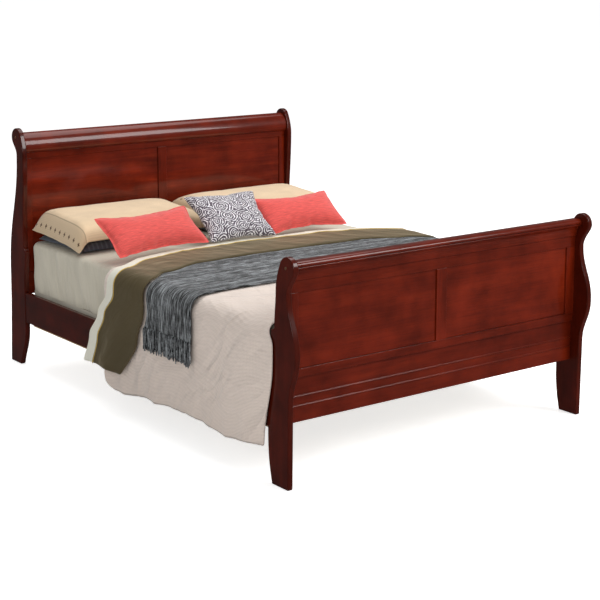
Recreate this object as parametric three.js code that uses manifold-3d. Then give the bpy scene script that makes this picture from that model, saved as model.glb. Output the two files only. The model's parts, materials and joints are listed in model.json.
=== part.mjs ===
// Queen-size sleigh bed with its bedding, as separate solids.
//
// Millimetres, +Z up. X runs across the bed, the foot end is at -Y and the head end at +Y. The
// origin is on the floor, under the middle of the bed.
//
// Both ends are drawn from the side, as outlines of (u, z): u is the distance from the outer corner
// of the leg towards the mattress, and z the height above the floor. An outline is then drawn out
// along X. The footboard's u runs towards +Y and the headboard's towards -Y.

import * as THREE from 'three';
import { mergeVertices } from 'three/addons/utils/BufferGeometryUtils.js';
import Module from 'manifold-3d';

const wasm = await Module();
wasm.setup();

// ---------------------------------------------------------------- driving dimensions

const BED_WIDTH = 1600; // over the outer faces of the posts
const BED_LENGTH = 2354; // from the footboard's belly to the back of the headboard's legs
const HEADBOARD_HEIGHT = 1168;
const FOOTBOARD_HEIGHT = 898;

const POST_THICKNESS = 25;
const FRAME_THICKNESS = 22; // rails and stiles of both ends
const PANEL_THICKNESS = 8;
const PANEL_RECESS = 6; // from the front of the frame to the front of the panel
const SEAM = 0.4; // gap between pieces that touch

const RAIL_THICKNESS = 22;
const RAIL_BOTTOM = 222;
const RAIL_HEIGHT = 148;
const RAIL_INSET = 3; // from the post's outer face to the rail's

const CLEAT_WIDTH = 24;
const CLEAT_HEIGHT = 25;
const CLEAT_TOP = RAIL_BOTTOM + 8;
const CLEAT_END_GAP = 30; // from the post to the end of the cleat
const SLAT_COUNT = 5;
const SLAT_WIDTH = 90;
const SLAT_THICKNESS = 20;
const SLAT_END_GAP = 4;
const FIRST_SLAT_INSET = 150; // from the end of the rail to the middle of the first slat

const LEG_SIZE = 45;
const LEG_CLEARANCE = 24; // height of the leg's foot above the floor
const LEVELLER_SLATS = [1, 3]; // slats that have a leg under them
const STEM_RADIUS = 6;
const STEM_CLEARANCE = 1;
const STEM_LENGTH = 32;
const PAD_RADIUS = 18;
const PAD_HEIGHT = 8;
const LEVELLER_TRAVEL = 12;

const PLATE_THICKNESS = 3;
const PLATE_HEIGHT = RAIL_HEIGHT - 48;
const PLATE_BOTTOM = RAIL_BOTTOM + 24;
const HOOK_PLATE_WIDTH = 50;
const CATCH_PLATE_WIDTH = 40;
const HOOK_REACH = 26; // how far a hook laps over the catch plate
const HOOK_HEIGHT = 18;

const MATTRESS_WIDTH = 1524; // queen
const MATTRESS_LENGTH = 2032;
const MATTRESS_HEIGHT = 240;
const FOUNDATION_HEIGHT = 130;
const MATTRESS_HEAD_GAP = 14; // from the mattress to the front of the headboard

const COVERLET_THICKNESS = 16;
const COVERLET_SIDE = 24; // room that the wavy side of the coverlet takes
const COVERLET_HEM = 130; // height of its lower edge above the floor
const COVERLET_LENGTH = 1240; // along the top of the bed
const FOOT_TUCK_DEPTH = 300; // how far it hangs down between mattress and footboard
const FOLD_THICKNESS = 12;
const FOLD_WIDTH = 315;
const FOLD_HEM = 190; // height of its lower edge above the floor
const THROW_THICKNESS = 12;
const THROW_WIDTH = 506;
const THROW_HEM = 352;

// ---------------------------------------------------------------- worked-out places

const BELLY_REACH = 42; // how far the footboard's belly stands in front of its legs
const footY = -BED_LENGTH / 2 + BELLY_REACH;
const headY = BED_LENGTH / 2;
const atFoot = (u) => footY + u;
const atHead = (u) => headY - u;

const postOuter = BED_WIDTH / 2;
const postInner = postOuter - POST_THICKNESS;
const spanHalf = postInner - SEAM; // half the length of what fits between the posts

const FOOT_LEG_DEPTH = 132; // leg width where the side rail meets it
const HEAD_LEG_DEPTH = 168;
const FOOT_FRAME_FRONT = 40; // u of the frame's outer face
const FOOT_APRON_FRONT = 50;
const HEAD_FRAME_FRONT = 157; // u of the frame's face towards the mattress

const railTop = RAIL_BOTTOM + RAIL_HEIGHT;
const railStart = atFoot(FOOT_LEG_DEPTH) + SEAM;
const railEnd = atHead(HEAD_LEG_DEPTH) - SEAM;
const railOuter = postOuter - RAIL_INSET;
const railInner = railOuter - RAIL_THICKNESS;

const slatBottom = CLEAT_TOP + SEAM;
const foundationBottom = slatBottom + SLAT_THICKNESS + SEAM;
const mattressBottom = foundationBottom + FOUNDATION_HEIGHT + SEAM;
const mattressTop = mattressBottom + MATTRESS_HEIGHT;
const mattressHead = atHead(HEAD_FRAME_FRONT) - MATTRESS_HEAD_GAP;
const mattressFoot = mattressHead - MATTRESS_LENGTH;

// ---------------------------------------------------------------- materials

const finish = (color, roughness, metalness = 0) => new THREE.MeshStandardMaterial({ color, roughness, metalness });
const cherry = finish('#5f1d14', 0.28);
const pine = finish('#c9a676', 0.7);
const steel = finish('#4b4b4d', 0.45, 0.9);
const nylon = finish('#1d1d1f', 0.6);
const brass = finish('#c9a27e', 0.35, 0.9);
const ticking = finish('#d8d4ca', 0.9);
const coverletCotton = finish('#e4ddd6', 0.9);
const oliveSateen = finish('#7f765a', 0.75);
const greyWool = finish('#7d8287', 0.95);
const charcoalCotton = finish('#474b52', 0.9);
const sandCotton = finish('#e3c69a', 0.85);
const coralCotton = finish('#d64a44', 0.85);
const flowerCotton = finish('#8e858b', 0.85);

// ---------------------------------------------------------------- helpers

const bed = new THREE.Group();

function add(name, geometry, material) {
  const mesh = new THREE.Mesh(geometry, material);
  mesh.name = name;
  bed.add(mesh);
  return mesh;
}

// A block between two opposite corners.
function block([x0, y0, z0], [x1, y1, z1]) {
  return new THREE.BoxGeometry(Math.abs(x1 - x0), Math.abs(y1 - y0), Math.abs(z1 - z0)).translate(
    (x0 + x1) / 2,
    (y0 + y1) / 2,
    (z0 + z1) / 2
  );
}

// Draws an outline of (y, z) points out along X, from x0 to x1.
function drawOut(points, x0, x1) {
  const shape = new THREE.Shape(points);
  const geometry = new THREE.ExtrudeGeometry(shape, { depth: Math.abs(x1 - x0), bevelEnabled: false });
  const turn = new THREE.Matrix4().makeBasis(
    new THREE.Vector3(0, 1, 0),
    new THREE.Vector3(0, 0, 1),
    new THREE.Vector3(1, 0, 0)
  );
  return geometry.applyMatrix4(turn).translate(Math.min(x0, x1), 0, 0);
}

const toVectors = (points) => points.map(([a, b]) => new THREE.Vector2(a, b));

// The points of a (u, z) path as (y, z) points of one end of the bed.
function outline(path, at, segments = 12) {
  return path.getPoints(segments).map((p) => new THREE.Vector2(at(p.x), p.y));
}

// A cylinder that stands on z0 and ends at z1.
function post(radius, z0, z1, x, y, sides = 24) {
  return new THREE.CylinderGeometry(radius, radius, z1 - z0, sides).rotateX(Math.PI / 2).translate(x, y, (z0 + z1) / 2);
}

function toSolid(geometry) {
  const plain = geometry.clone();
  plain.deleteAttribute('normal');
  plain.deleteAttribute('uv');
  const merged = mergeVertices(plain, 1e-4);
  return new wasm.Manifold(
    new wasm.Mesh({
      numProp: 3,
      vertProperties: new Float32Array(merged.attributes.position.array),
      triVerts: new Uint32Array(merged.index.array),
    })
  );
}

function toGeometry(solid) {
  const mesh = solid.getMesh();
  const geometry = new THREE.BufferGeometry();
  geometry.setAttribute('position', new THREE.BufferAttribute(new Float32Array(mesh.vertProperties), 3));
  geometry.setIndex(new THREE.BufferAttribute(new Uint32Array(mesh.triVerts), 1));
  geometry.computeVertexNormals();
  return geometry;
}

const join = (...parts) => toGeometry(parts.map(toSolid).reduce((whole, next) => whole.add(next)));
const cut = (part, ...tools) => toGeometry(tools.map(toSolid).reduce((rest, next) => rest.subtract(next), toSolid(part)));

// ---------------------------------------------------------------- posts

const SCROLL_LEAVE = THREE.MathUtils.degToRad(25); // where the inner edge runs into the scroll
const SCROLL_END = THREE.MathUtils.degToRad(215); // where the scroll runs into the neck

// One S-shaped end post. The inner edge goes up from the leg over a small shoulder to the scroll,
// and the outer edge comes down from the scroll by the neck and the belly to the leg.
function postPath({ height, radius, scrollU, legToe, legHeel, legDepth, legTop, shoulder, ledge, back, neck, belly, knee }) {
  const scrollZ = height - radius;
  const on = (angle) => [scrollU + radius * Math.cos(angle), scrollZ + radius * Math.sin(angle)];
  const [backU, backZ] = on(SCROLL_LEAVE);
  const [frontU, frontZ] = on(SCROLL_END);
  const path = new THREE.Path();
  path.moveTo(legToe, 0);
  path.lineTo(legHeel, 0);
  path.bezierCurveTo(legHeel + 15, 60, legDepth, 110, legDepth, RAIL_BOTTOM - 30);
  path.lineTo(legDepth, railTop + 25);
  path.bezierCurveTo(legDepth, railTop + 90, shoulder.u, shoulder.z - 40, shoulder.u, shoulder.z);
  path.bezierCurveTo(shoulder.u, shoulder.z + 16, ledge.u, ledge.z - 16, ledge.u, ledge.z);
  path.bezierCurveTo(ledge.u, ledge.z + (back.z - ledge.z) * 0.35, back.u, back.z - (back.z - ledge.z) * 0.35, back.u, back.z);
  path.bezierCurveTo(back.u, back.z + 30, backU + radius * Math.sin(SCROLL_LEAVE), backZ - radius * Math.cos(SCROLL_LEAVE), backU, backZ);
  path.absarc(scrollU, scrollZ, radius, SCROLL_LEAVE, SCROLL_END, false);
  path.bezierCurveTo(frontU + 16, frontZ - 23, neck.u, neck.z + 24, neck.u, neck.z);
  path.bezierCurveTo(neck.u, neck.z - (neck.z - belly.z) * 0.4, belly.u, belly.z + (neck.z - belly.z) * 0.45, belly.u, belly.z);
  path.bezierCurveTo(belly.u, belly.z - (belly.z - knee.z) * 0.45, knee.u, knee.z + (belly.z - knee.z) * 0.45, knee.u, knee.z);
  path.lineTo(legToe, 0);
  return path;
}

const footPost = postPath({
  height: FOOTBOARD_HEIGHT,
  radius: 45,
  scrollU: 13,
  legToe: 4,
  legHeel: 107,
  legDepth: FOOT_LEG_DEPTH,
  shoulder: { u: 113, z: railTop + 228 },
  ledge: { u: 92, z: railTop + 252 },
  back: { u: 83, z: FOOTBOARD_HEIGHT - 135 },
  neck: { u: 12, z: FOOTBOARD_HEIGHT - 143 },
  belly: { u: -BELLY_REACH, z: railTop + 152 },
  knee: { u: 0, z: railTop - 35 },
});

const headPost = postPath({
  height: HEADBOARD_HEIGHT,
  radius: 44,
  scrollU: 120,
  legToe: 0,
  legHeel: 106,
  legDepth: HEAD_LEG_DEPTH,
  shoulder: { u: 184, z: railTop + 196 },
  ledge: { u: 166, z: railTop + 228 },
  back: { u: 188, z: HEADBOARD_HEIGHT - 128 },
  neck: { u: 121, z: HEADBOARD_HEIGHT - 128 },
  belly: { u: 21, z: railTop + 100 },
  knee: { u: 19, z: railTop - 50 },
});

const sides = [
  ['left', -1],
  ['right', 1],
];

for (const [side, sign] of sides) {
  add(`footboard_post_${side}`, drawOut(outline(footPost, atFoot), sign * postInner, sign * postOuter), cherry);
  add(`headboard_post_${side}`, drawOut(outline(headPost, atHead), sign * postInner, sign * postOuter), cherry);
}

// Round caps over the screws that hold the crown between the posts.
const CAP_RADIUS = 6;
const CAP_HEIGHT = 1.6;
const footScroll = { y: atFoot(16), z: FOOTBOARD_HEIGHT - 42 };
const headScroll = { y: atHead(120), z: HEADBOARD_HEIGHT - 44 };
for (const [end, scroll] of [
  ['footboard', footScroll],
  ['headboard', headScroll],
]) {
  for (const [side, sign] of sides) {
    const x = sign * (postOuter + SEAM + CAP_HEIGHT / 2);
    const cap = new THREE.CylinderGeometry(CAP_RADIUS, CAP_RADIUS, CAP_HEIGHT, 20).rotateZ(Math.PI / 2);
    add(`${end}_screw_cap_${side}`, cap.translate(x, scroll.y, scroll.z), brass);
  }
}

// ---------------------------------------------------------------- footboard between the posts

const FOOT_CAP_DROP = 24; // from the top of the post to the top of the cap
const FOOT_CAP_HEIGHT = 22;
const FOOT_COVE_HEIGHT = 55;
const FOOT_UPPER_RAIL = 47;
const FOOT_PANEL_BOTTOM = railTop + 85;
const FOOT_LOWER_RAIL = 34;
const APRON_BOTTOM = RAIL_BOTTOM + 22;
const BEAD_RADIUS = 3.5;
const BEAD_HEIGHTS = [APRON_BOTTOM + 63, APRON_BOTTOM + 101];
const FOOT_END_STILE = 50;
const FOOT_MIDDLE_STILE = 54;

const footCapTop = FOOTBOARD_HEIGHT - FOOT_CAP_DROP;
const footCapBottom = footCapTop - FOOT_CAP_HEIGHT;
const footCoveTop = footCapBottom - SEAM;
const footCoveBottom = footCapBottom - FOOT_COVE_HEIGHT;
const footRailTop = footCoveBottom - SEAM;
const footRailBottom = footCoveBottom - FOOT_UPPER_RAIL;
const footFrameBack = FOOT_FRAME_FRONT + FRAME_THICKNESS;

// The cap is a flat bar with both long edges rounded over.
const footCap = new THREE.Path();
footCap.moveTo(12, footCapBottom);
footCap.lineTo(footFrameBack - 2, footCapBottom);
footCap.bezierCurveTo(footFrameBack + 5, footCapBottom, footFrameBack + 5, footCapTop - 4, footFrameBack - 12, footCapTop - 1);
footCap.quadraticCurveTo(34, footCapTop + 1, 18, footCapTop - 1);
footCap.bezierCurveTo(1, footCapTop - 4, 1, footCapBottom, 12, footCapBottom);
add('footboard_crown_cap', drawOut(outline(footCap, atFoot, 6), -spanHalf, spanHalf), cherry);

// The cove swells out from the frame to just behind the edge of the cap.
const footCove = new THREE.Path();
footCove.moveTo(footFrameBack, footCoveBottom);
footCove.lineTo(footFrameBack, footCoveTop);
footCove.lineTo(9, footCoveTop);
footCove.lineTo(9, footCoveTop - 6);
footCove.bezierCurveTo(24, footCoveTop - 10, 33, footCoveTop - 28, FOOT_FRAME_FRONT - 6, footCoveBottom + 7);
footCove.lineTo(FOOT_FRAME_FRONT - 6, footCoveBottom);
add('footboard_cove_moulding', drawOut(outline(footCove, atFoot, 8), -spanHalf, spanHalf), cherry);

// Frame of rails and stiles with two sunk panels. u0 and u1 are its faces, front is the face that
// the panels are sunk from, and side is +1 where the front looks towards larger u.
function panelledFrame({ end, at, u0, u1, railTop: top, railBottom, panelBottom, lowerBottom, endStile, middleStile, side }) {
  const between = (x0, x1, z0, z1, a = u0, b = u1) => block([x0, at(a), z0], [x1, at(b), z1]);
  const openTop = railBottom - SEAM;
  const panelFace = side > 0 ? u1 - PANEL_RECESS : u0 + PANEL_RECESS;
  const panelBack = panelFace - side * PANEL_THICKNESS;
  add(`${end}_upper_rail`, between(-spanHalf, spanHalf, railBottom, top), cherry);
  add(`${end}_lower_rail`, between(-spanHalf, spanHalf, lowerBottom, panelBottom - SEAM), cherry);
  add(`${end}_stile_centre`, between(-middleStile / 2, middleStile / 2, panelBottom, openTop), cherry);
  for (const [name, sign] of sides) {
    const stileEdge = spanHalf - endStile;
    add(`${end}_stile_${name}`, between(sign * stileEdge, sign * spanHalf, panelBottom, openTop), cherry);
    const panel = between(
      sign * (middleStile / 2 + SEAM),
      sign * (stileEdge - SEAM),
      panelBottom,
      openTop,
      panelFace,
      panelBack
    );
    add(`${end}_panel_${name}`, panel, cherry);
  }
}

panelledFrame({
  end: 'footboard',
  at: atFoot,
  u0: FOOT_FRAME_FRONT,
  u1: footFrameBack,
  railTop: footRailTop,
  railBottom: footRailBottom,
  panelBottom: FOOT_PANEL_BOTTOM,
  lowerBottom: FOOT_PANEL_BOTTOM - FOOT_LOWER_RAIL,
  endStile: FOOT_END_STILE,
  middleStile: FOOT_MIDDLE_STILE,
  side: -1,
});

// The apron below the frame carries two raised beads along its face.
const apronTop = FOOT_PANEL_BOTTOM - FOOT_LOWER_RAIL - SEAM;
const apronBack = FOOT_APRON_FRONT + FRAME_THICKNESS;
const apron = new THREE.Path();
apron.moveTo(FOOT_APRON_FRONT, apronTop);
for (const z of [...BEAD_HEIGHTS].reverse()) {
  apron.lineTo(FOOT_APRON_FRONT, z + BEAD_RADIUS);
  apron.absarc(FOOT_APRON_FRONT, z, BEAD_RADIUS, Math.PI / 2, (3 * Math.PI) / 2, false);
}
apron.lineTo(FOOT_APRON_FRONT, APRON_BOTTOM);
apron.lineTo(apronBack, APRON_BOTTOM);
apron.lineTo(apronBack, apronTop);
add('footboard_apron', drawOut(outline(apron, atFoot, 6), -spanHalf, spanHalf), cherry);

// ---------------------------------------------------------------- headboard between the posts

const HEAD_ROLL_RADIUS = 22;
const HEAD_ROLL_U = 120;
const HEAD_CROWN_HEIGHT = 94;
const HEAD_CROWN_BULGE = 17; // how far the crown swells past the frame
const HEAD_UPPER_RAIL = 30;
const HEAD_PANEL_BOTTOM = railTop + 100;
const HEAD_LOWER_RAIL = 110;
const HEAD_END_STILE = 35;
const HEAD_MIDDLE_STILE = 50;

const rollZ = HEADBOARD_HEIGHT - 44;
const headCrownBottom = rollZ + HEAD_ROLL_RADIUS - HEAD_CROWN_HEIGHT;
const headFrameBack = HEAD_FRAME_FRONT - FRAME_THICKNESS;
const bulgeU = HEAD_FRAME_FRONT + HEAD_CROWN_BULGE;

// The crown rolls back over the top and swells towards the mattress before it meets the frame.
const headCrown = new THREE.Path();
headCrown.moveTo(headFrameBack, headCrownBottom);
headCrown.lineTo(HEAD_FRAME_FRONT + 3, headCrownBottom);
headCrown.bezierCurveTo(bulgeU - 4, headCrownBottom + 4, bulgeU + 1, headCrownBottom + 14, bulgeU, headCrownBottom + 28);
headCrown.bezierCurveTo(bulgeU - 2, headCrownBottom + 58, bulgeU - 24, rollZ + 18, HEAD_ROLL_U + 4, rollZ + HEAD_ROLL_RADIUS);
headCrown.absarc(HEAD_ROLL_U, rollZ, HEAD_ROLL_RADIUS, Math.PI / 2, THREE.MathUtils.degToRad(230), false);
headCrown.bezierCurveTo(headFrameBack - 12, rollZ - 34, headFrameBack, rollZ - 50, headFrameBack, headCrownBottom);
add('headboard_crown', drawOut(outline(headCrown, atHead), -spanHalf, spanHalf), cherry);

panelledFrame({
  end: 'headboard',
  at: atHead,
  u0: headFrameBack,
  u1: HEAD_FRAME_FRONT,
  railTop: headCrownBottom - SEAM,
  railBottom: headCrownBottom - HEAD_UPPER_RAIL,
  panelBottom: HEAD_PANEL_BOTTOM,
  lowerBottom: HEAD_PANEL_BOTTOM - HEAD_LOWER_RAIL,
  endStile: HEAD_END_STILE,
  middleStile: HEAD_MIDDLE_STILE,
  side: 1,
});

// ---------------------------------------------------------------- side rails and their hardware

const cleatInner = railInner - SEAM - CLEAT_WIDTH;
const plateFace = postInner - SEAM - PLATE_THICKNESS;
const HOOK_COUNT = 2;

// A steel plate on the rail's end with hooks that lap over the catch plate on the post.
function hookPlate(sign, end, inward) {
  const near = end + inward * SEAM;
  const face = sign * plateFace;
  const plate = block(
    [sign * (railInner - SEAM), near, PLATE_BOTTOM],
    [face, near + inward * HOOK_PLATE_WIDTH, PLATE_BOTTOM + PLATE_HEIGHT]
  );
  const hooks = Array.from({ length: HOOK_COUNT }, (_, i) => {
    const z = PLATE_BOTTOM + (PLATE_HEIGHT * (i + 0.5)) / HOOK_COUNT;
    return block(
      [face, near - inward * HOOK_REACH, z - HOOK_HEIGHT / 2],
      [face - sign * PLATE_THICKNESS, near + inward * HOOK_REACH, z + HOOK_HEIGHT / 2]
    ).translate(sign * -SEAM, 0, 0);
  });
  const roots = Array.from({ length: HOOK_COUNT }, (_, i) => {
    const z = PLATE_BOTTOM + (PLATE_HEIGHT * (i + 0.5)) / HOOK_COUNT;
    return block(
      [sign * (plateFace + PLATE_THICKNESS / 2), near, z - HOOK_HEIGHT / 2],
      [sign * (plateFace - PLATE_THICKNESS), near + inward * HOOK_REACH, z + HOOK_HEIGHT / 2]
    );
  });
  return join(plate, ...hooks, ...roots);
}

for (const [side, sign] of sides) {
  add(
    `side_rail_${side}`,
    block([sign * railInner, railStart, RAIL_BOTTOM], [sign * railOuter, railEnd, railTop]),
    cherry
  );
  add(
    `slat_cleat_${side}`,
    block(
      [sign * cleatInner, railStart + CLEAT_END_GAP, CLEAT_TOP - CLEAT_HEIGHT],
      [sign * (railInner - SEAM), railEnd - CLEAT_END_GAP, CLEAT_TOP]
    ),
    pine
  );
  for (const [end, at, legDepth, inward] of [
    ['foot', atFoot, FOOT_LEG_DEPTH, 1],
    ['head', atHead, HEAD_LEG_DEPTH, -1],
  ]) {
    const edge = at(legDepth);
    add(`rail_hook_${end}_${side}`, hookPlate(sign, edge, inward), steel);
    add(
      `post_catch_${end}_${side}`,
      block(
        [sign * plateFace, edge - inward * CATCH_PLATE_WIDTH, PLATE_BOTTOM],
        [sign * (postInner - SEAM), edge - inward * SEAM, PLATE_BOTTOM + PLATE_HEIGHT]
      ),
      steel
    );
  }
}

// ---------------------------------------------------------------- slats, centre legs and levellers

const slatHalf = railInner - SLAT_END_GAP;
const slatPitch = (railEnd - railStart - 2 * FIRST_SLAT_INSET) / (SLAT_COUNT - 1);

for (let i = 0; i < SLAT_COUNT; i++) {
  const y = railStart + FIRST_SLAT_INSET + i * slatPitch;
  const slat = block(
    [-slatHalf, y - SLAT_WIDTH / 2, slatBottom],
    [slatHalf, y + SLAT_WIDTH / 2, slatBottom + SLAT_THICKNESS]
  );
  add(`slat_${i + 1}`, slat, pine);
}

const stemTop = PAD_HEIGHT + STEM_LENGTH;
LEVELLER_SLATS.forEach((slat, i) => {
  const y = railStart + FIRST_SLAT_INSET + slat * slatPitch;
  const leg = block(
    [-LEG_SIZE / 2, y - LEG_SIZE / 2, LEG_CLEARANCE],
    [LEG_SIZE / 2, y + LEG_SIZE / 2, slatBottom - SEAM]
  );
  const bore = post(STEM_RADIUS + STEM_CLEARANCE, LEG_CLEARANCE - 1, stemTop + LEVELLER_TRAVEL + 4, 0, y);
  add(`centre_leg_${i + 1}`, cut(leg, bore), pine);
  const profile = [
    [0, 0],
    [PAD_RADIUS, 0],
    [PAD_RADIUS, PAD_HEIGHT - 2],
    [PAD_RADIUS - 2, PAD_HEIGHT],
    [STEM_RADIUS, PAD_HEIGHT],
    [STEM_RADIUS, stemTop],
    [0, stemTop],
  ].map(([r, z]) => new THREE.Vector2(r, z));
  const leveller = new THREE.LatheGeometry(profile, 24).rotateX(Math.PI / 2).translate(0, y, 0);
  add(`leveller_${i + 1}`, leveller, nylon);
});

// ---------------------------------------------------------------- foundation and mattress

const mattressHalf = MATTRESS_WIDTH / 2;
add(
  'foundation',
  block(
    [-mattressHalf, mattressFoot, foundationBottom],
    [mattressHalf, mattressHead, foundationBottom + FOUNDATION_HEIGHT]
  ),
  ticking
);
add(
  'mattress',
  block([-mattressHalf, mattressFoot, mattressBottom], [mattressHalf, mattressHead, mattressTop]),
  ticking
);

// ---------------------------------------------------------------- coverlet, turned-down fold and throw

const SOFT_GAP = 1; // between layers of bedding
const SIDE_GAP = 6; // between the post's outer face and the coverlet
const FOOT_POST_GAP = 10; // from the footboard's legs to the coverlet's sides
const TUCK_GAP = 6;

const coverletBottom = mattressTop + SOFT_GAP;
const coverletTop = coverletBottom + COVERLET_THICKNESS;
const coverletInner = postOuter + SIDE_GAP;
const coverletOuter = coverletInner + COVERLET_SIDE;
const coverletSideFoot = atFoot(FOOT_LEG_DEPTH) + FOOT_POST_GAP;
const tuckBack = mattressFoot - TUCK_GAP;
const tuckFront = tuckBack - COVERLET_THICKNESS;
const coverletHead = tuckFront + COVERLET_LENGTH;
const topNarrow = mattressHalf - SOFT_GAP;

const coverletFlap = [
  [coverletSideFoot, coverletTop],
  [coverletSideFoot, COVERLET_HEM],
  [coverletHead - 150, COVERLET_HEM - 20],
  [coverletHead - 60, COVERLET_HEM - 10],
  [coverletHead - 10, COVERLET_HEM + 45],
  [coverletHead, coverletTop],
];
// On the right the foot end hangs less far down.
const coverletRightFlap = [
  [coverletSideFoot, coverletTop],
  [coverletSideFoot, COVERLET_HEM + 95],
  [coverletSideFoot + 420, COVERLET_HEM],
  ...coverletFlap.slice(2),
];
add(
  'coverlet',
  join(
    block([-topNarrow, tuckFront, coverletBottom], [topNarrow, coverletHead, coverletTop]),
    block([-topNarrow, tuckFront, coverletTop - FOOT_TUCK_DEPTH], [topNarrow, tuckBack, coverletTop]),
    block([-coverletOuter, coverletSideFoot, coverletBottom], [coverletOuter, coverletHead, coverletTop]),
    drawOut(toVectors(coverletFlap), -coverletOuter, -coverletInner),
    drawOut(toVectors(coverletRightFlap), coverletInner, coverletOuter)
  ),
  coverletCotton
);

// A strip of cloth across the bed, with a flap hanging down each side. middle and shoulder are its
// foot and head edges, as [y0, y1], in the middle of the bed and at the bed's long edges. flap is
// the hanging part's lower edge as (y, z), from its foot side to its head side.
function strip({ middle, shoulder, flap, thickness }) {
  const bottom = coverletTop + SOFT_GAP;
  const inner = coverletOuter + SOFT_GAP;
  const outer = inner + thickness;
  const level = outer * 0.66; // the edges run straight between here on both sides
  const right = [
    [level, middle[0]],
    [outer, shoulder[0]],
    [outer, shoulder[1]],
    [level, middle[1]],
  ];
  const left = right.map(([x, y]) => [-x, y]).reverse();
  const top = new THREE.ExtrudeGeometry(new THREE.Shape(toVectors([...right, ...left])), {
    depth: thickness,
    bevelEnabled: false,
  });
  const flapPoints = toVectors([[shoulder[0], bottom + thickness], ...flap, [shoulder[1], bottom + thickness]]);
  return join(top.translate(0, 0, bottom), drawOut(flapPoints, -outer, -inner), drawOut(flapPoints, inner, outer));
}

const SHOULDER_PULL = 150; // how far the cloth is pulled towards the foot at the bed's long edges
const foldFoot = coverletHead - 202;
const foldHead = foldFoot + FOLD_WIDTH;
const foldShoulder = [foldFoot - SHOULDER_PULL, foldHead - SHOULDER_PULL - 20];
add(
  'coverlet_fold',
  strip({
    middle: [foldFoot, foldHead],
    shoulder: foldShoulder,
    flap: [
      [foldShoulder[0], FOLD_HEM + 280],
      [foldFoot + 5, FOLD_HEM + 10],
      [foldHead + 30, FOLD_HEM],
      [foldShoulder[1], FOLD_HEM + 350],
    ],
    thickness: FOLD_THICKNESS,
  }),
  oliveSateen
);

const throwHead = foldFoot - SOFT_GAP * 4;
const throwFoot = throwHead - THROW_WIDTH;
const throwShoulder = [throwFoot - 10, throwHead - SHOULDER_PULL - 8];
add(
  'throw_blanket',
  strip({
    middle: [throwFoot, throwHead],
    shoulder: throwShoulder,
    flap: [
      [throwShoulder[0] + 5, THROW_HEM + 15],
      [throwShoulder[1] + 30, THROW_HEM],
      [throwShoulder[1], THROW_HEM + 110],
    ],
    thickness: THROW_THICKNESS,
  }),
  greyWool
);

// ---------------------------------------------------------------- pillows

const PILLOW_EDGE = 8; // thickness of a pillow's seam

// A stuffed pillow, flat in XY: full in the middle and thin at its four seams.
function pillow(width, depth, thickness) {
  const geometry = new THREE.BoxGeometry(width, depth, 2, 8, 6, 1);
  const at = geometry.attributes.position;
  for (let i = 0; i < at.count; i++) {
    const a = (2 * at.getX(i)) / width;
    const b = (2 * at.getY(i)) / depth;
    const full = Math.sqrt(Math.max(0, (1 - a ** 4) * (1 - b ** 4)));
    const half = PILLOW_EDGE / 2 + ((thickness - PILLOW_EDGE) / 2) * full;
    at.setZ(i, Math.sign(at.getZ(i)) * half);
  }
  return geometry;
}

// Places a pillow by its middle. lean turns its head edge up, and turn swings it round Z.
function place(name, geometry, material, [x, y, z], lean = 0, turn = 0) {
  const mesh = add(name, geometry, material);
  mesh.rotation.set(THREE.MathUtils.degToRad(lean), 0, THREE.MathUtils.degToRad(turn), 'ZYX');
  mesh.position.set(x, y, z);
}

const SLEEPING = { width: 700, depth: 430, thickness: 66 };
const SHAM = { width: 752, depth: 470, thickness: 94 };
const LUMBAR = { width: 530, depth: 240, thickness: 96 };
const LUMBAR_SHORT = { ...LUMBAR, width: 470 };
const SQUARE = { width: 360, depth: 330, thickness: 96 };
const HEAD_CLEARANCE = 14; // from the headboard to the rear pillows
const SHAM_LEAN = 4;
const onMattress = mattressTop + SOFT_GAP;

const sleepingY = mattressHead - HEAD_CLEARANCE - SLEEPING.depth / 2;
const sleepingZ = onMattress + SLEEPING.thickness / 2;
const shamY = mattressHead - HEAD_CLEARANCE - SHAM.depth / 2;
const shamZ = sleepingZ + SLEEPING.thickness / 2 + SHAM.thickness / 2 + 4;
const rearX = mattressHalf / 2;

for (const [side, sign] of sides) {
  place(
    `sleeping_pillow_${side}`,
    pillow(SLEEPING.width, SLEEPING.depth, SLEEPING.thickness),
    charcoalCotton,
    [sign * rearX, sleepingY, sleepingZ]
  );
  place(
    `pillow_sham_${side}`,
    pillow(SHAM.width, SHAM.depth, SHAM.thickness),
    sandCotton,
    [sign * (rearX + 4), shamY, shamZ],
    SHAM_LEAN
  );
}

const cushions = [
  { name: 'lumbar_cushion_left', size: LUMBAR, cloth: coralCotton, x: -484, back: 676, rise: 122, lean: 40, turn: 8 },
  { name: 'lumbar_cushion_right', size: LUMBAR_SHORT, cloth: coralCotton, x: 434, back: 622, rise: 116, lean: 38, turn: 0 },
  { name: 'square_cushion', size: SQUARE, cloth: flowerCotton, x: -10, back: 592, rise: 130, lean: 32, turn: -4 },
];
for (const { name, size, cloth, x, back, rise, lean, turn } of cushions) {
  const solid = pillow(size.width, size.depth, size.thickness);
  place(name, solid, cloth, [x, mattressHead - back, mattressTop + rise], lean, turn);
}

export default bed;
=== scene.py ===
"""Looks for a queen sleigh bed: lacquered cherry ends, slatted base, made-up bedding and cushions.

Run as a script inside Blender. Lengths are in metres, +Z up, the foot end at -Y.
"""

import json
import math
import random

import bmesh
import bpy
from bpy.props import FloatProperty, FloatVectorProperty, IntProperty, PointerProperty
from mathutils import Euler, Matrix, Vector, noise

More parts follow.
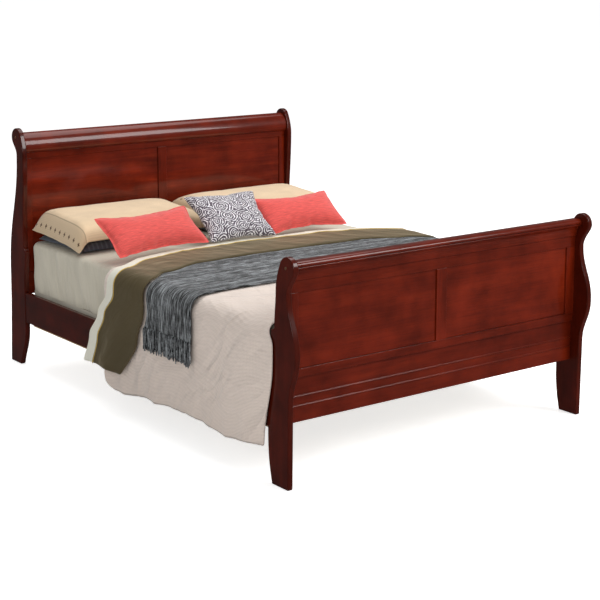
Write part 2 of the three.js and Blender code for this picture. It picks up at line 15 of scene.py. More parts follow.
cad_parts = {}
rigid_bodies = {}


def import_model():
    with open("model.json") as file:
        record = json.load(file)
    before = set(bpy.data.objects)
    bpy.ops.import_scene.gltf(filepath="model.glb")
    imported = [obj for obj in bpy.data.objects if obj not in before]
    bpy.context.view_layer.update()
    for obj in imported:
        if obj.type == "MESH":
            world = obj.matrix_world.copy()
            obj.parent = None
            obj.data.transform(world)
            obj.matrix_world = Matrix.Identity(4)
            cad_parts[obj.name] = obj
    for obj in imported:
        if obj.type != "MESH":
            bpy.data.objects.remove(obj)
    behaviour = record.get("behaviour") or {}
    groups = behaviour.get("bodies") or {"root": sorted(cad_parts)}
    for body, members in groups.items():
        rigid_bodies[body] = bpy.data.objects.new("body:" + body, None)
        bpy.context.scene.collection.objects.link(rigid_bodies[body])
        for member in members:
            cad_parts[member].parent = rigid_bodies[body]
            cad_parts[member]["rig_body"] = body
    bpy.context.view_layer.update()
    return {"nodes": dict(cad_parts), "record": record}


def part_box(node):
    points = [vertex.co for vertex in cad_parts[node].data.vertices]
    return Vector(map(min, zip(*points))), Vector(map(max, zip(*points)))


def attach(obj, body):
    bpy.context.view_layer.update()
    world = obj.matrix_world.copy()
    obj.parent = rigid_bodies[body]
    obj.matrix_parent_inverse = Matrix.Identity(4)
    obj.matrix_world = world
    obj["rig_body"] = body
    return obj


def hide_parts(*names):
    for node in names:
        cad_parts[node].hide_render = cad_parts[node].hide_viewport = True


bl_info = {
    "name": "Sleigh Bed",
    "version": (1, 0, 0),
    "blender": (4, 5, 0),
    "location": "View3D > Sidebar > Sleigh Bed",
    "description": "Finishes a sleigh bed's frame and makes its bedding and its stage",
    "category": "Add Mesh",
}

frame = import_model()
NODES = frame["nodes"]
SIDES = (("left", -1), ("right", 1))


# ---------------------------------------------------------------- small helpers


def linear(code):
    """An sRGB hex colour as linear red, green, blue and alpha."""
    parts = [int(code[i : i + 2], 16) / 255 for i in (1, 3, 5)]
    return (*(p / 12.92 if p <= 0.04045 else ((p + 0.055) / 1.055) ** 2.4 for p in parts), 1.0)


def smooth_step(low, high, value):
    """0 below low, 1 above high, and a smooth rise between them."""
    t = min(1.0, max(0.0, (value - low) / (high - low)))
    return t * t * (3 - 2 * t)


def along(points, value):
    """Reads a smooth line through (position, height) points."""
    if value <= points[0][0]:
        return points[0][1]
    for (a, low), (b, high) in zip(points, points[1:]):
        if value <= b:
            return low + (high - low) * smooth_step(a, b, value)
    return points[-1][1]


def body_of_node(node):
    return NODES[node]["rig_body"]


def slot_of_node(node):
    return next(p["material_slot"] for p in frame["record"]["subparts"] if p["node"] == node)


def new_piece(name, bm, material, nodes, smooth=True):
    """Makes an object of a bmesh, with its material, that stands for CAD nodes, hides them and rides on their body.
    """
    mesh = bpy.data.meshes.new(name)
    bm.to_mesh(mesh)
    bm.free()
    mesh.polygons.foreach_set("use_smooth", [smooth] * len(mesh.polygons))
    piece = bpy.data.objects.new(name, mesh)
    bpy.context.scene.collection.objects.link(piece)
    piece.data.materials.append(material)
    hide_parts(*nodes)
    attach(piece, body_of_node(nodes[0]))
    return piece


def add_modifier(piece, kind, **settings):
    modifier = piece.modifiers.new(kind.title(), kind)
    for key, value in settings.items():
        setattr(modifier, key, value)
    return modifier


def subdivide(piece, levels=1):
    add_modifier(piece, "SUBSURF", levels=levels, render_levels=levels)


def rounded_copy(node, material, radius, segments=3, crease=30):
    """A copy of a hard CAD piece with its sharp edges rounded over."""
    bm = bmesh.new()
    bm.from_mesh(NODES[node].data)
    bmesh.ops.remove_doubles(bm, verts=bm.verts, dist=1e-5)
    bmesh.ops.dissolve_limit(bm, angle_limit=math.radians(0.4), verts=bm.verts, edges=bm.edges)
    sharp = [e for e in bm.edges if e.is_manifold and e.calc_face_angle() > math.radians(crease)]
    bmesh.ops.bevel(
        bm,
        geom=sharp,
        offset=radius,
        segments=segments,
        profile=0.5,
        affect="EDGES",
        material=-1,
        clamp_overlap=True,
    )
    piece = new_piece(f"{node}_finished", bm, material, [node])
    add_modifier(piece, "WEIGHTED_NORMAL", keep_sharp=True, weight=60)
    return piece


# ---------------------------------------------------------------- materials


def add_node(tree, kind, inputs=None, **settings):
    """Adds a shader node with its settings, and its inputs as numbers, colours or links."""
    made = tree.nodes.new("ShaderNode" + kind)
    for key, value in settings.items():
        setattr(made, key, value)
    for key, value in (inputs or {}).items():
        if isinstance(value, bpy.types.NodeSocket):
            tree.links.new(value, made.inputs[key])
        else:
            made.inputs[key].default_value = value
    return made


def set_stops(ramp, stops):
    """Gives a colour ramp its (position, colour) stops."""
    elements = ramp.color_ramp.elements
    for (position, colour), i in zip(stops, range(len(stops))):
        element = elements[i] if i < 2 else elements.new(position)
        element.position = position
        element.color = colour
    return ramp.outputs["Color"]


def grey(level):
    return (level, level, level, 1.0)


def shaded(colour, factor):
    """A colour made lighter or darker."""
    return (*(min(1.0, c * factor) for c in colour[:3]), 1.0)


def new_material(name, **shader):
    material = bpy.data.materials.new(name)
    material.use_nodes = True
    tree = material.node_tree
    tree.nodes.clear()
    surface = add_node(tree, "BsdfPrincipled", shader)
    add_node(tree, "OutputMaterial", {"Surface": surface.outputs["BSDF"]})
    return material, tree, surface


def blend_colours(tree, factor, a, b, mode="MIX"):
    """Mixes two colours; in Mix nodes the colour sockets are the seventh and eighth."""
    return add_node(tree, "Mix", {0: factor, 6: a, 7: b}, data_type="RGBA", blend_type=mode).outputs[2]


GRAIN_SCALE = {"X": (1.5, 26, 26), "Y": (26, 1.5, 26), "Z": (26, 26, 1.5)}
PORE_SCALE = {"X": (9, 330, 330), "Y": (330, 9, 330), "Z": (330, 330, 9)}
FIGURE_SCALE = {"X": (0.9, 6.5, 6.5), "Y": (6.5, 0.9, 6.5), "Z": (6.5, 6.5, 0.9)}


def lacquered_cherry(name, grain, colour, dark, light, figured):
    """Stained cherry veneer under clear lacquer: deep red-brown, softly blotched where it took the stain,
    with streaks along the grain 30 mm apart, 3 mm dark pores and a hard, clear shine. figured is how
    strongly the streaks show against the blotches."""
    material, tree, surface = new_material(
        f"lacquered_cherry_{name}_grain_{grain.lower()}",
        **{
            "IOR": 1.5,
            "Coat Weight": 0.5,
            "Coat Roughness": 0.08,
            "Coat IOR": 1.5,
            "Specular IOR Level": 0.12,
        },
    )
    place = add_node(tree, "TexCoord").outputs["Object"]
    streak_place = add_node(tree, "Mapping", {"Vector": place, "Scale": GRAIN_SCALE[grain]}).outputs[0]
    streaks = add_node(
        tree,
        "TexNoise",
        {"Vector": streak_place, "Scale": 1.0, "Detail": 7.0, "Roughness": 0.62, "Distortion": 0.5},
    )
    figure_place = add_node(tree, "Mapping", {"Vector": place, "Scale": FIGURE_SCALE[grain]}).outputs[0]
    figure = add_node(
        tree, "TexNoise", {"Vector": figure_place, "Scale": 1.0, "Detail": 3.0, "Distortion": 2.2}
    )
    blotches = add_node(
        tree, "TexNoise", {"Vector": place, "Scale": 7.0, "Detail": 4.0, "Roughness": 0.6}
    )
    pore_place = add_node(tree, "Mapping", {"Vector": place, "Scale": PORE_SCALE[grain]}).outputs[0]
    pores = add_node(tree, "TexNoise", {"Vector": pore_place, "Scale": 1.0, "Detail": 2.0})
    tone = set_stops(
        add_node(tree, "ValToRGB", {"Fac": streaks.outputs["Fac"]}),
        [(0.22, dark), (0.8, light), (0.5, colour)],
    )
    figure_tone = set_stops(
        add_node(tree, "ValToRGB", {"Fac": figure.outputs["Fac"]}), [
            (0.36, grey(0.8)), (0.64, grey(1.12))
        ]
    )
    blotch_tone = set_stops(
        add_node(tree, "ValToRGB", {"Fac": blotches.outputs["Fac"]}), [
            (0.3, grey(0.62)), (0.7, grey(1.32))
        ]
    )
    pore_tone = set_stops(
        add_node(tree, "ValToRGB", {"Fac": pores.outputs["Fac"]}), [(0.36, grey(0.7)), (0.5, grey(1.0))]
    )
    toned = blend_colours(tree, figured, colour, tone)
    toned = blend_colours(tree, figured, toned, figure_tone, "MULTIPLY")
    toned = blend_colours(tree, 0.9, toned, blotch_tone, "MULTIPLY")
    toned = blend_colours(tree, 0.55, toned, pore_tone, "MULTIPLY")
    tree.links.new(toned, surface.inputs["Base Color"])
    polish = add_node(
        tree, "MapRange", {"Value": blotches.outputs["Fac"], "To Min": 0.26, "To Max": 0.38}
    )
    tree.links.new(polish.outputs[0], surface.inputs["Roughness"])
    bump = add_node(tree, "Bump", {"Height": streaks.outputs["Fac"], "Strength": 0.05, "Distance": 0.002})
    tree.links.new(bump.outputs[0], surface.inputs["Normal"])
    return material


def sawn_pine(grain="X"):
    """Planed pine, unfinished: pale, with straight darker growth lines about 12 mm apart and no shine."""
    material, tree, surface = new_material(f"sawn_pine_grain_{grain.lower()}", **{"IOR": 1.45})
    place = add_node(tree, "TexCoord").outputs["Object"]
    lines_place = add_node(
        tree, "Mapping", {"Vector": place, "Scale": tuple(v * 3 for v in GRAIN_SCALE[grain])}
    ).outputs[0]
    lines = add_node(
        tree, "TexNoise", {"Vector": lines_place, "Scale": 1.0, "Detail": 5.0, "Distortion": 0.8}
    )
    tone = set_stops(
        add_node(tree, "ValToRGB", {"Fac": lines.outputs["Fac"]}),
        [(0.32, linear("#a87c4c")), (0.62, linear("#d9bb8c"))],
    )
    tree.links.new(tone, surface.inputs["Base Color"])
    surface.inputs["Roughness"].default_value = 0.62
    bump = add_node(tree, "Bump", {"Height": lines.outputs["Fac"], "Strength": 0.15, "Distance": 0.002})
    tree.links.new(bump.outputs[0], surface.inputs["Normal"])
    return material


def satin_metal(name, colour, roughness, metallic=1.0):
    """Pressed metal: fine random scuffs a few millimetres long vary how it shines."""
    material, tree, surface = new_material(name, Metallic=metallic)
    surface.inputs["Base Color"].default_value = colour
    place = add_node(tree, "TexCoord").outputs["Object"]
    scuffs = add_node(tree, "TexNoise", {"Vector": place, "Scale": 180.0, "Detail": 3.0})
    polish = add_node(
        tree,
        "MapRange",
        {"Value": scuffs.outputs["Fac"], "To Min": roughness - 0.1, "To Max": roughness + 0.12},
    )
    tree.links.new(polish.outputs[0], surface.inputs["Roughness"])
    bump = add_node(tree, "Bump", {"Height": scuffs.outputs["Fac"], "Strength": 0.08, "Distance": 0.001})
    tree.links.new(bump.outputs[0], surface.inputs["Normal"])
    return material


def moulded_nylon():
    """Black moulded nylon with a fine spark-eroded grain."""
    material, tree, surface = new_material("moulded_nylon", **{"Roughness": 0.48, "IOR": 1.53})
    place = add_node(tree, "TexCoord").outputs["Object"]
    grain = add_node(tree, "TexNoise", {"Vector": place, "Scale": 900.0, "Detail": 2.0})
    tone = set_stops(
        add_node(tree, "ValToRGB", {"Fac": grain.outputs["Fac"]}), [
            (0.3, linear("#18181a")), (0.7, linear("#252528"))
        ]
    )
    tree.links.new(tone, surface.inputs["Base Color"])
    bump = add_node(tree, "Bump", {"Height": grain.outputs["Fac"], "Strength": 0.2, "Distance": 0.0005})
    tree.links.new(bump.outputs[0], surface.inputs["Normal"])
    return material


class Cloth:
    """A woven cloth on a piece's own UV map, which is in metres: warp along u and weft along v."""

    def __init__(
        self, name, thread, roughness=0.9, sheen=0.25, weave=0.35, sheen_tint="#ffffff", nap=0.5
    ):
        self.material, self.tree, self.surface = new_material(
            name,
            **{
                "Roughness": roughness,
                "IOR": 1.45,
                "Specular IOR Level": 0.25,
                "Sheen Weight": sheen,
                "Sheen Roughness": nap,
                "Sheen Tint": linear(sheen_tint),
            },
        )
        self.flat = self.node("UVMap", uv_map="UVMap").outputs["UV"]
        warp = self.threads(thread, "X")
        weft = self.threads(thread, "Y")
        self.weave = self.node("Math", {0: warp, 1: weft}, operation="MAXIMUM").outputs[0]
        self.heights = [(self.weave, weave, thread * 0.4)]

    def node(self, kind, inputs=None, **settings):
        return add_node(self.tree, kind, inputs, **settings)

    def threads(self, spacing, direction):
        bands = self.node(
            "TexWave",
            {
                "Vector": self.flat,
                "Scale": 1 / (spacing * 20 / math.tau * 2),
                "Distortion": 1.2,
                "Detail": 1.0,
                "Detail Scale": 2.0,
            },
            wave_type="BANDS",
            bands_direction=direction,
        )
        return bands.outputs["Fac"]

    def stretched_noise(self, across, down, detail=4.0, distortion=0.0, roughness=0.5, turn=0.0):
        """Noise whose marks are about across by down metres on the cloth, turned by turn radians."""
        layout = {"Vector": self.flat, "Scale": (across, down, 1), "Rotation": (0, 0, turn)}
        place = self.node("Mapping", layout, vector_type="TEXTURE").outputs[0]
        inputs = {
            "Vector": place,
            "Scale": 1.0,
            "Detail": detail,
            "Distortion": distortion,
            "Roughness": roughness,
        }
        return self.node("TexNoise", inputs).outputs["Fac"]

    def ramp(self, value, stops):
        return set_stops(self.node("ValToRGB", {"Fac": value}), stops)

    def creases(self, across, down, turn, strength, distance):
        """Presses narrow, sharp-backed creases into the cloth and gives back their height."""
        field = self.stretched_noise(across, down, detail=3, distortion=0.5, turn=turn)
        folded = self.node("Math", {0: field, 1: 0.5}, operation="SUBTRACT").outputs[0]
        ridge = self.node("Math", {0: folded}, operation="ABSOLUTE").outputs[0]
        sharp = self.node(
            "MapRange", {"Value": ridge, "From Max": 0.16, "To Min": 1.0, "To Max": 0.0}
        ).outputs[0]
        self.emboss(sharp, strength, distance)
        return sharp

    def emboss(self, height, strength, distance):
        self.heights.append((height, strength, distance))

    def finish(self, colour):
        """Links the colour and stacks the bumps."""
        # Painted shade: the colour darkens in the hollows between the threads, following the weave's height.
        soft = self.ramp(self.weave, [(0.0, grey(0.86)), (1.0, grey(1.03))])
        toned = blend_colours(self.tree, 1.0, colour, soft, "MULTIPLY")
        self.tree.links.new(toned, self.surface.inputs["Base Color"])
        normal = None
        for height, strength, distance in self.heights:
            inputs = {"Height": height, "Strength": strength, "Distance": distance}
            if normal is not None:
                inputs["Normal"] = normal
            normal = self.node("Bump", inputs).outputs[0]
        self.tree.links.new(normal, self.surface.inputs["Normal"])
        return self.material


def sheet_cotton(colour):
    """Washed cotton percale: matt, thread pattern drawn at 2.5 mm, faint creases, with painted shade where the
    colour darkens along the creases.
    """
    cloth = Cloth("percale_sheet_cotton", thread=0.0025, weave=0.12)
    creases = cloth.stretched_noise(0.3, 0.06, detail=5, distortion=0.8, turn=0.2)
    cloth.emboss(creases, 0.6, 0.016)
    cloth.creases(0.5, 0.12, 0.25, 0.3, 0.014)
    # Painted shade: the colour darkens along the same noise that presses the creases.
    return cloth.finish(cloth.ramp(creases, [(0.3, shaded(colour, 0.9)), (0.7, shaded(colour, 1.05))]))


def ticking_cotton():
    """Mattress ticking: plain cream cotton drill with a narrow grey stripe every 25 mm."""
    material, tree, surface = new_material("cotton_ticking", **{"Roughness": 0.9, "Sheen Weight": 0.1})
    place = add_node(tree, "TexCoord").outputs["Object"]
    stripes = add_node(
        tree, "TexWave", {"Vector": place, "Scale": 12.5, "Distortion": 0.0}, bands_direction="X"
    )
    tone = set_stops(
        add_node(tree, "ValToRGB", {"Fac": stripes.outputs["Fac"]}),
        [(0.86, linear("#cbc4b4")), (0.92, linear("#8f8f90"))],
    )
    tree.links.new(tone, surface.inputs["Base Color"])
    weave = add_node(tree, "TexNoise", {"Vector": place, "Scale": 500.0})
    bump = add_node(tree, "Bump", {"Height": weave.outputs["Fac"], "Strength": 0.2, "Distance": 0.001})
    tree.links.new(bump.outputs[0], surface.inputs["Normal"])
    return material


def quilted_coverlet(colour, hem_at):
    """Matelasse cotton: woven ripples 15 mm apart that run along the bed in shallow scallops, and a corded
    hem hem_at metres from the middle, a shade darker."""
    cloth = Cloth("matelasse_coverlet_cotton", thread=0.003, weave=0.1)
    wander = cloth.stretched_noise(0.5, 0.32, detail=1)
    apart = cloth.node("SeparateXYZ", {0: cloth.flat})
    bend = cloth.node(
        "Math", {0: wander, 1: 0.22, 2: apart.outputs["X"]}, operation="MULTIPLY_ADD"
    ).outputs[0]
    phase = cloth.node("Math", {0: bend, 1: math.tau / 0.015}, operation="MULTIPLY").outputs[0]
    ripple = cloth.node("Math", {0: phase}, operation="SINE").outputs[0]
    broken = cloth.stretched_noise(0.02, 0.09, detail=2)
    height = cloth.node("Math", {0: ripple, 1: broken}, operation="MULTIPLY").outputs[0]
    cloth.emboss(height, 0.15, 0.004)
    cloth.creases(0.2, 0.6, 0.9, 0.42, 0.03)
    cloth.creases(0.13, 0.5, -0.35, 0.26, 0.02)
    # Painted shade: the colour is a little darker in the ripples' troughs, following their height.
    shade = cloth.node("MapRange", {"Value": height, "From Min": -0.6, "From Max": 0.6}).outputs[0]
    tone = cloth.ramp(shade, [(0.1, shaded(colour, 0.965)), (0.8, shaded(colour, 1.01))])
    out = cloth.node("Math", {0: apart.outputs["X"]}, operation="ABSOLUTE").outputs[0]
    cord = cloth.node("Math", {0: out, 1: hem_at}, operation="GREATER_THAN").outputs[0]
    cloth.emboss(cord, 0.6, 0.004)
    return cloth.finish(blend_colours(cloth.tree, cord, tone, shaded(colour, 0.66)))


BORDER_WIDTH = 0.060
PIPING_DARK = 0.004
PIPING_GOLD = 0.005


def olive_duvet(colour, border):
    """Cotton sateen turned down over the coverlet. v is the distance from its head edge: first a cream
    border, then a dark and a gold piping, then the olive ground with soft puckers at the seam."""
    cloth = Cloth(
        "cotton_sateen_duvet",
        thread=0.0022,
        roughness=0.6,
        sheen=1.0,
        weave=0.08,
        sheen_tint="#e6d6b6",
        nap=0.28,
    )
    apart = cloth.node("SeparateXYZ", {0: cloth.flat})
    inward = cloth.node("MapRange", {"Value": apart.outputs["Y"], "From Max": 0.1}).outputs[0]
    ground = cloth.stretched_noise(0.3, 0.2, detail=3)
    olive = cloth.ramp(ground, [(0.3, shaded(colour, 0.93)), (0.7, shaded(colour, 1.06))])
    lines = cloth.node("ValToRGB", {"Fac": inward})
    lines.color_ramp.interpolation = "CONSTANT"
    start = BORDER_WIDTH / 0.1
    dark_end = start + PIPING_DARK / 0.1
    gold_end = dark_end + PIPING_GOLD / 0.1
    stripes = set_stops(
        lines,
        [
            (0.0, border),
            (start, linear("#2e3138")),
            (dark_end, linear("#c2a24e")),
            (gold_end, linear("#ffffff")),
        ],
    )
    is_ground = cloth.node("Math", {0: inward, 1: gold_end}, operation="GREATER_THAN").outputs[0]
    puckers = cloth.stretched_noise(0.035, 0.16, detail=3, distortion=0.4)
    cloth.emboss(puckers, 0.12, 0.008)
    cloth.creases(0.3, 0.12, 0.5, 0.14, 0.014)
    return cloth.finish(blend_colours(cloth.tree, is_ground, stripes, olive))


def streaked_throw(light, dark):
    """A loose weave of slub yarn: near-black and pale grey yarns 4 mm wide that run along the throw."""
    cloth = Cloth("slub_yarn_throw", thread=0.006, roughness=0.95, sheen=0.18, weave=0.6)
    yarn = cloth.stretched_noise(0.06, 0.0044, detail=3, distortion=0.25, roughness=0.65)
    bands = cloth.stretched_noise(0.5, 0.03, detail=2)
    both = cloth.node("Math", {0: bands, 1: 0.35, 2: yarn}, operation="MULTIPLY_ADD").outputs[0]
    middle = tuple(0.3 * a + 0.7 * b for a, b in zip(light, dark))
    cloth.emboss(yarn, 0.7, 0.004)
    return cloth.finish(cloth.ramp(both, [(0.62, dark), (0.81, light), (0.71, middle)]))


def slub_cotton(name, colour, sheen=0.3):
    """Heavy cotton with slubs: short darker and lighter threads, 30 mm long, across the cushion."""
    cloth = Cloth(name, thread=0.0035, roughness=0.88, sheen=sheen, weave=0.35)
    slubs = cloth.stretched_noise(0.045, 0.0035, detail=3, distortion=0.3)
    cloth.emboss(slubs, 0.35, 0.002)
    return cloth.finish(cloth.ramp(slubs, [(0.3, shaded(colour, 0.74)), (0.7, shaded(colour, 1.18))]))


def plain_cotton(name, colour, stripe=None):
    """Plain woven pillow cotton, with faint stripes 12 mm apart where stripe is given."""
    cloth = Cloth(name, thread=0.0025, roughness=0.88, weave=0.14)
    creases = cloth.stretched_noise(0.12, 0.09, detail=4, distortion=0.7)
    cloth.emboss(creases, 0.2, 0.006)
    # Painted shade: the colour darkens along the same noise that presses the creases.
    tone = cloth.ramp(creases, [(0.3, shaded(colour, 0.92)), (0.7, shaded(colour, 1.05))])
    if stripe:
        lines = cloth.ramp(cloth.threads(0.012, "X"), [(0.6, grey(0)), (0.8, grey(1))])
        tone = blend_colours(cloth.tree, lines, tone, stripe)
    return cloth.finish(tone)


CUFF = 0.072
BUTTONHOLES_APART = 0.046


def cuffed_sham(colour, thread, box):
    """Sand cotton with a cuff at each end: a seam line, a slightly darker band, and along it a row of short
    stitched buttonholes in dark brown, 46 mm apart."""
    half = (box[1].x - box[0].x) / 2
    cloth = Cloth("sand_sham_cotton", thread=0.0025, roughness=0.88, weave=0.14)
    creases = cloth.stretched_noise(0.12, 0.09, detail=4, distortion=0.7)
    cloth.emboss(creases, 0.2, 0.006)
    # Painted shade: the colour darkens along the same noise that presses the creases.
    tone = cloth.ramp(creases, [(0.3, shaded(colour, 0.92)), (0.7, shaded(colour, 1.05))])
    apart = cloth.node("SeparateXYZ", {0: cloth.flat})
    out = cloth.node("Math", {0: apart.outputs["X"]}, operation="ABSOLUTE").outputs[0]

    def near(value, at, reach):
        return cloth.node("Math", {0: value, 1: at, 2: reach}, operation="COMPARE").outputs[0]

    cuff = cloth.node("Math", {0: out, 1: half - CUFF}, operation="GREATER_THAN").outputs[0]
    seam = near(out, half - CUFF, 0.002)
    turns = cloth.node("Math", {0: apart.outputs["Y"], 1: 1 / BUTTONHOLES_APART}, operation="MULTIPLY")
    step = cloth.node("Math", {0: turns.outputs[0]}, operation="FRACT").outputs[0]
    hole = cloth.node(
        "Math", {0: near(out, half - CUFF * 0.45, 0.0065), 1: near(step, 0.5, 0.06)}, operation="MULTIPLY"
    )
    loop = cloth.node(
        "Math", {0: near(out, half - CUFF * 0.45, 0.0022), 1: near(step, 0.5, 0.17)}, operation="MULTIPLY"
    )
    stitch = cloth.node("Math", {0: hole.outputs[0], 1: loop.outputs[0]}, operation="MAXIMUM").outputs[0]
    cloth.emboss(cuff, 0.5, 0.003)
    tone = blend_colours(cloth.tree, cuff, tone, shaded(colour, 0.86))
    tone = blend_colours(cloth.tree, seam, tone, shaded(colour, 0.6))
    return cloth.finish(blend_colours(cloth.tree, stitch, tone, thread))


def ring_print(ink, ground):
    """Printed cotton: loose rosettes of broken, hand-drawn rings, about 75 mm across, dark on pale."""
    cloth = Cloth("ring_printed_cotton", thread=0.0025, roughness=0.85, weave=0.15)
    shake = cloth.node("TexNoise", {"Vector": cloth.flat, "Scale": 26.0, "Detail": 2.0})
    away = cloth.node("VectorMath", {0: shake.outputs["Color"], 1: (0.5, 0.5, 0.5)}, operation="SUBTRACT")
    moved = cloth.node(
        "VectorMath", {0: away.outputs[0], 1: (0.022, 0.022, 0), 2: cloth.flat}, operation="MULTIPLY_ADD"
    )
    cells = cloth.node(
        "TexVoronoi",
        {"Vector": moved.outputs[0], "Scale": 13.5, "Randomness": 0.75},
        voronoi_dimensions="2D",
    )
    rings = cloth.node("Math", {0: cells.outputs["Distance"], 1: 44.0}, operation="MULTIPLY").outputs[0]
    waves = cloth.node("Math", {0: rings}, operation="SINE").outputs[0]
    broken = cloth.stretched_noise(0.013, 0.013, detail=3)
    width = cloth.node("Math", {0: broken, 1: 3.8, 2: -1.25}, operation="MULTIPLY_ADD").outputs[0]
    line = cloth.node("Math", {0: waves, 1: width}, operation="ADD").outputs[0]
    edge = cloth.ramp(line, [(0.1, grey(0)), (0.3, grey(1))])
    return cloth.finish(blend_colours(cloth.tree, edge, ground, ink))


# ---------------------------------------------------------------- settings


def colour_setting(name, description, code):
    return FloatVectorProperty(
        name=name, description=description, subtype="COLOR", size=4, min=0, max=1, default=linear(code)
    )


def length_setting(name, description, default):
    return FloatProperty(name=name, description=description, default=default, min=0, unit="LENGTH")


class BedWoodSettings(bpy.types.PropertyGroup):
    """Finish of the frame."""

    stain: colour_setting("Stain", "Middle tone of the cherry stain", "#6a1b06")
    stain_dark: colour_setting("Dark streaks", "Tone of the dark grain streaks", "#531406")
    stain_light: colour_setting("Light streaks", "Tone of the light grain streaks", "#842a0f")
    # Post shade darkens the stain of the posts and side rails. It is painted shade for their side faces, which turn
    # away from the lights, not a darker stain.
    post_painted_shade: FloatProperty(
        name="Post shade", description="How dark posts and rails are stained", default=0.45
    )
    post_edge: length_setting("Post edge", "Radius of the rounded edges of the end posts", 0.0045)
    rail_edge: length_setting(
        "Rail edge", "Radius of the rounded edges of rails, crown and apron", 0.0025
    )
    joint_edge: length_setting("Joint edge", "Radius of the edges of frame members and panels", 0.0012)


class BedLinenSettings(bpy.types.PropertyGroup):
    """Colours and folds of the bedding."""

    sheet: colour_setting("Sheet", "Bottom sheet on the mattress", "#cfc8b6")
    coverlet: colour_setting("Coverlet", "Quilted coverlet", "#dfd0c5")
    duvet: colour_setting("Duvet", "Turned-down olive duvet", "#574c34")
    border: colour_setting("Border", "Cream border of the duvet", "#e6e4d6")
    piping: colour_setting("Piping", "Gold piping between border and duvet", "#c9ab5c")
    throw_light: colour_setting("Throw light", "Light yarn of the throw", "#a4a9ac")
    throw_dark: colour_setting("Throw dark", "Dark yarn of the throw", "#090a0c")
    stitching: colour_setting("Stitching", "Buttonhole stitching on the shams' cuffs", "#5c4029")
    sham: colour_setting("Sham", "Sand pillow shams", "#dcc29f")
    under_pillow: colour_setting("Rear pillow", "Charcoal sleeping pillows", "#474c56")
    coral: colour_setting("Coral", "Lumbar cushions", "#dd554f")
    ink: colour_setting("Print ink", "Ink of the printed cushion", "#564c56")
    ground: colour_setting("Print ground", "Ground of the printed cushion", "#efedf0")
    side_wave: length_setting("Side wave", "Depth of the soft folds in what hangs down the sides", 0.006)
    fringe_count: IntProperty(
        name="Fringe", description="Tassels on each end of the throw", default=64, min=8
    )


class BedStageSettings(bpy.types.PropertyGroup):
    """Camera, light and floor."""

    focal_length: FloatProperty(
        name="Focal length", description="Of the camera's lens", default=89.41, unit="CAMERA"
    )
    floor_size: length_setting("Floor size", "Width of the floor", 160.0)


# ---------------------------------------------------------------- frame


GRAIN_OF = {
    "footboard_post": "Z",
    "headboard_post": "Z",
    "footboard_stile": "Z",
    "headboard_stile": "Z",
    "side_rail": "Y",
}


class BED_OT_ends(bpy.types.Operator):
    """Rounds and lacquers the posts, crowns, rails, stiles and panels of both ends and the side rails"""

    bl_idname = "bed.finish_ends"
    bl_label = "Finish ends and rails"

    def execute(self, context):
        wood = context.scene.bed_wood
        tones = (tuple(wood.stain), tuple(wood.stain_dark), tuple(wood.stain_light))
        # Darker copies of the stain tones for the posts and side rails: painted shade.
        shade_darkened_tones = tuple(shaded(tone, wood.post_painted_shade) for tone in tones)
        cherry = {grain: lacquered_cherry("veneer", grain, *tones, figured=0.5) for grain in "XYZ"}
        member_tones = (shaded(tone, 0.84) for tone in tones)
        member = lacquered_cherry("member", "X", *member_tones, figured=0.5)
        figured = lacquered_cherry("figured_veneer", "X", *tones, figured=0.9)
        solid = {grain: lacquered_cherry("solid", grain, *shade_darkened_tones, figured=0.5) for grain in "YZ"}
        for node in sorted(NODES):
            if slot_of_node(node) != "cherry_wood":
                continue
            grain = next((g for start, g in GRAIN_OF.items() if node.startswith(start)), "X")
            radius = wood.joint_edge
            if "_post_" in node:
                radius = wood.post_edge
            elif any(word in node for word in ("crown", "cove", "apron", "side_rail")):
                radius = wood.rail_edge
            stain = cherry[grain]
            if node.startswith("headboard_panel"):
                stain = figured
            # Posts and side rails take the darkened solid stain: painted shade.
            elif "_post_" in node or "side_rail" in node:
                stain = solid[grain]
            elif grain == "X" and "panel" not in node:
                stain = member
            rounded_copy(node, stain, radius, segments=4 if "_post_" in node else 3)
        return {"FINISHED"}


class BED_OT_hardware(bpy.types.Operator):
    """Finishes the screw caps, hooks, catches, slats, cleats, centre legs and levellers"""

    bl_idname = "bed.finish_hardware"
    bl_label = "Finish slats and hardware"

    def execute(self, context):
        finishes = {
            "pine": (sawn_pine("X"), 0.002),
            "black_steel": (satin_metal("black_steel_plate", linear("#3b3b3d"), 0.42), 0.0005),
            "cap_metal": (satin_metal("brass_screw_cap", linear("#c79f80"), 0.32), 0.0006),
            "nylon": (moulded_nylon(), 0.0006),
        }
        long_pine = sawn_pine("Y")
        standing_pine = sawn_pine("Z")
        for node in sorted(NODES):
            slot = slot_of_node(node)
            if slot not in finishes:
                continue
            material, radius = finishes[slot]
            if node.startswith("slat_cleat"):
                material = long_pine
            elif node.startswith("centre_leg"):
                material = standing_pine
            rounded_copy(node, material, radius, segments=2, crease=40)
        return {"FINISHED"}


# ---------------------------------------------------------------- mattress and sheets


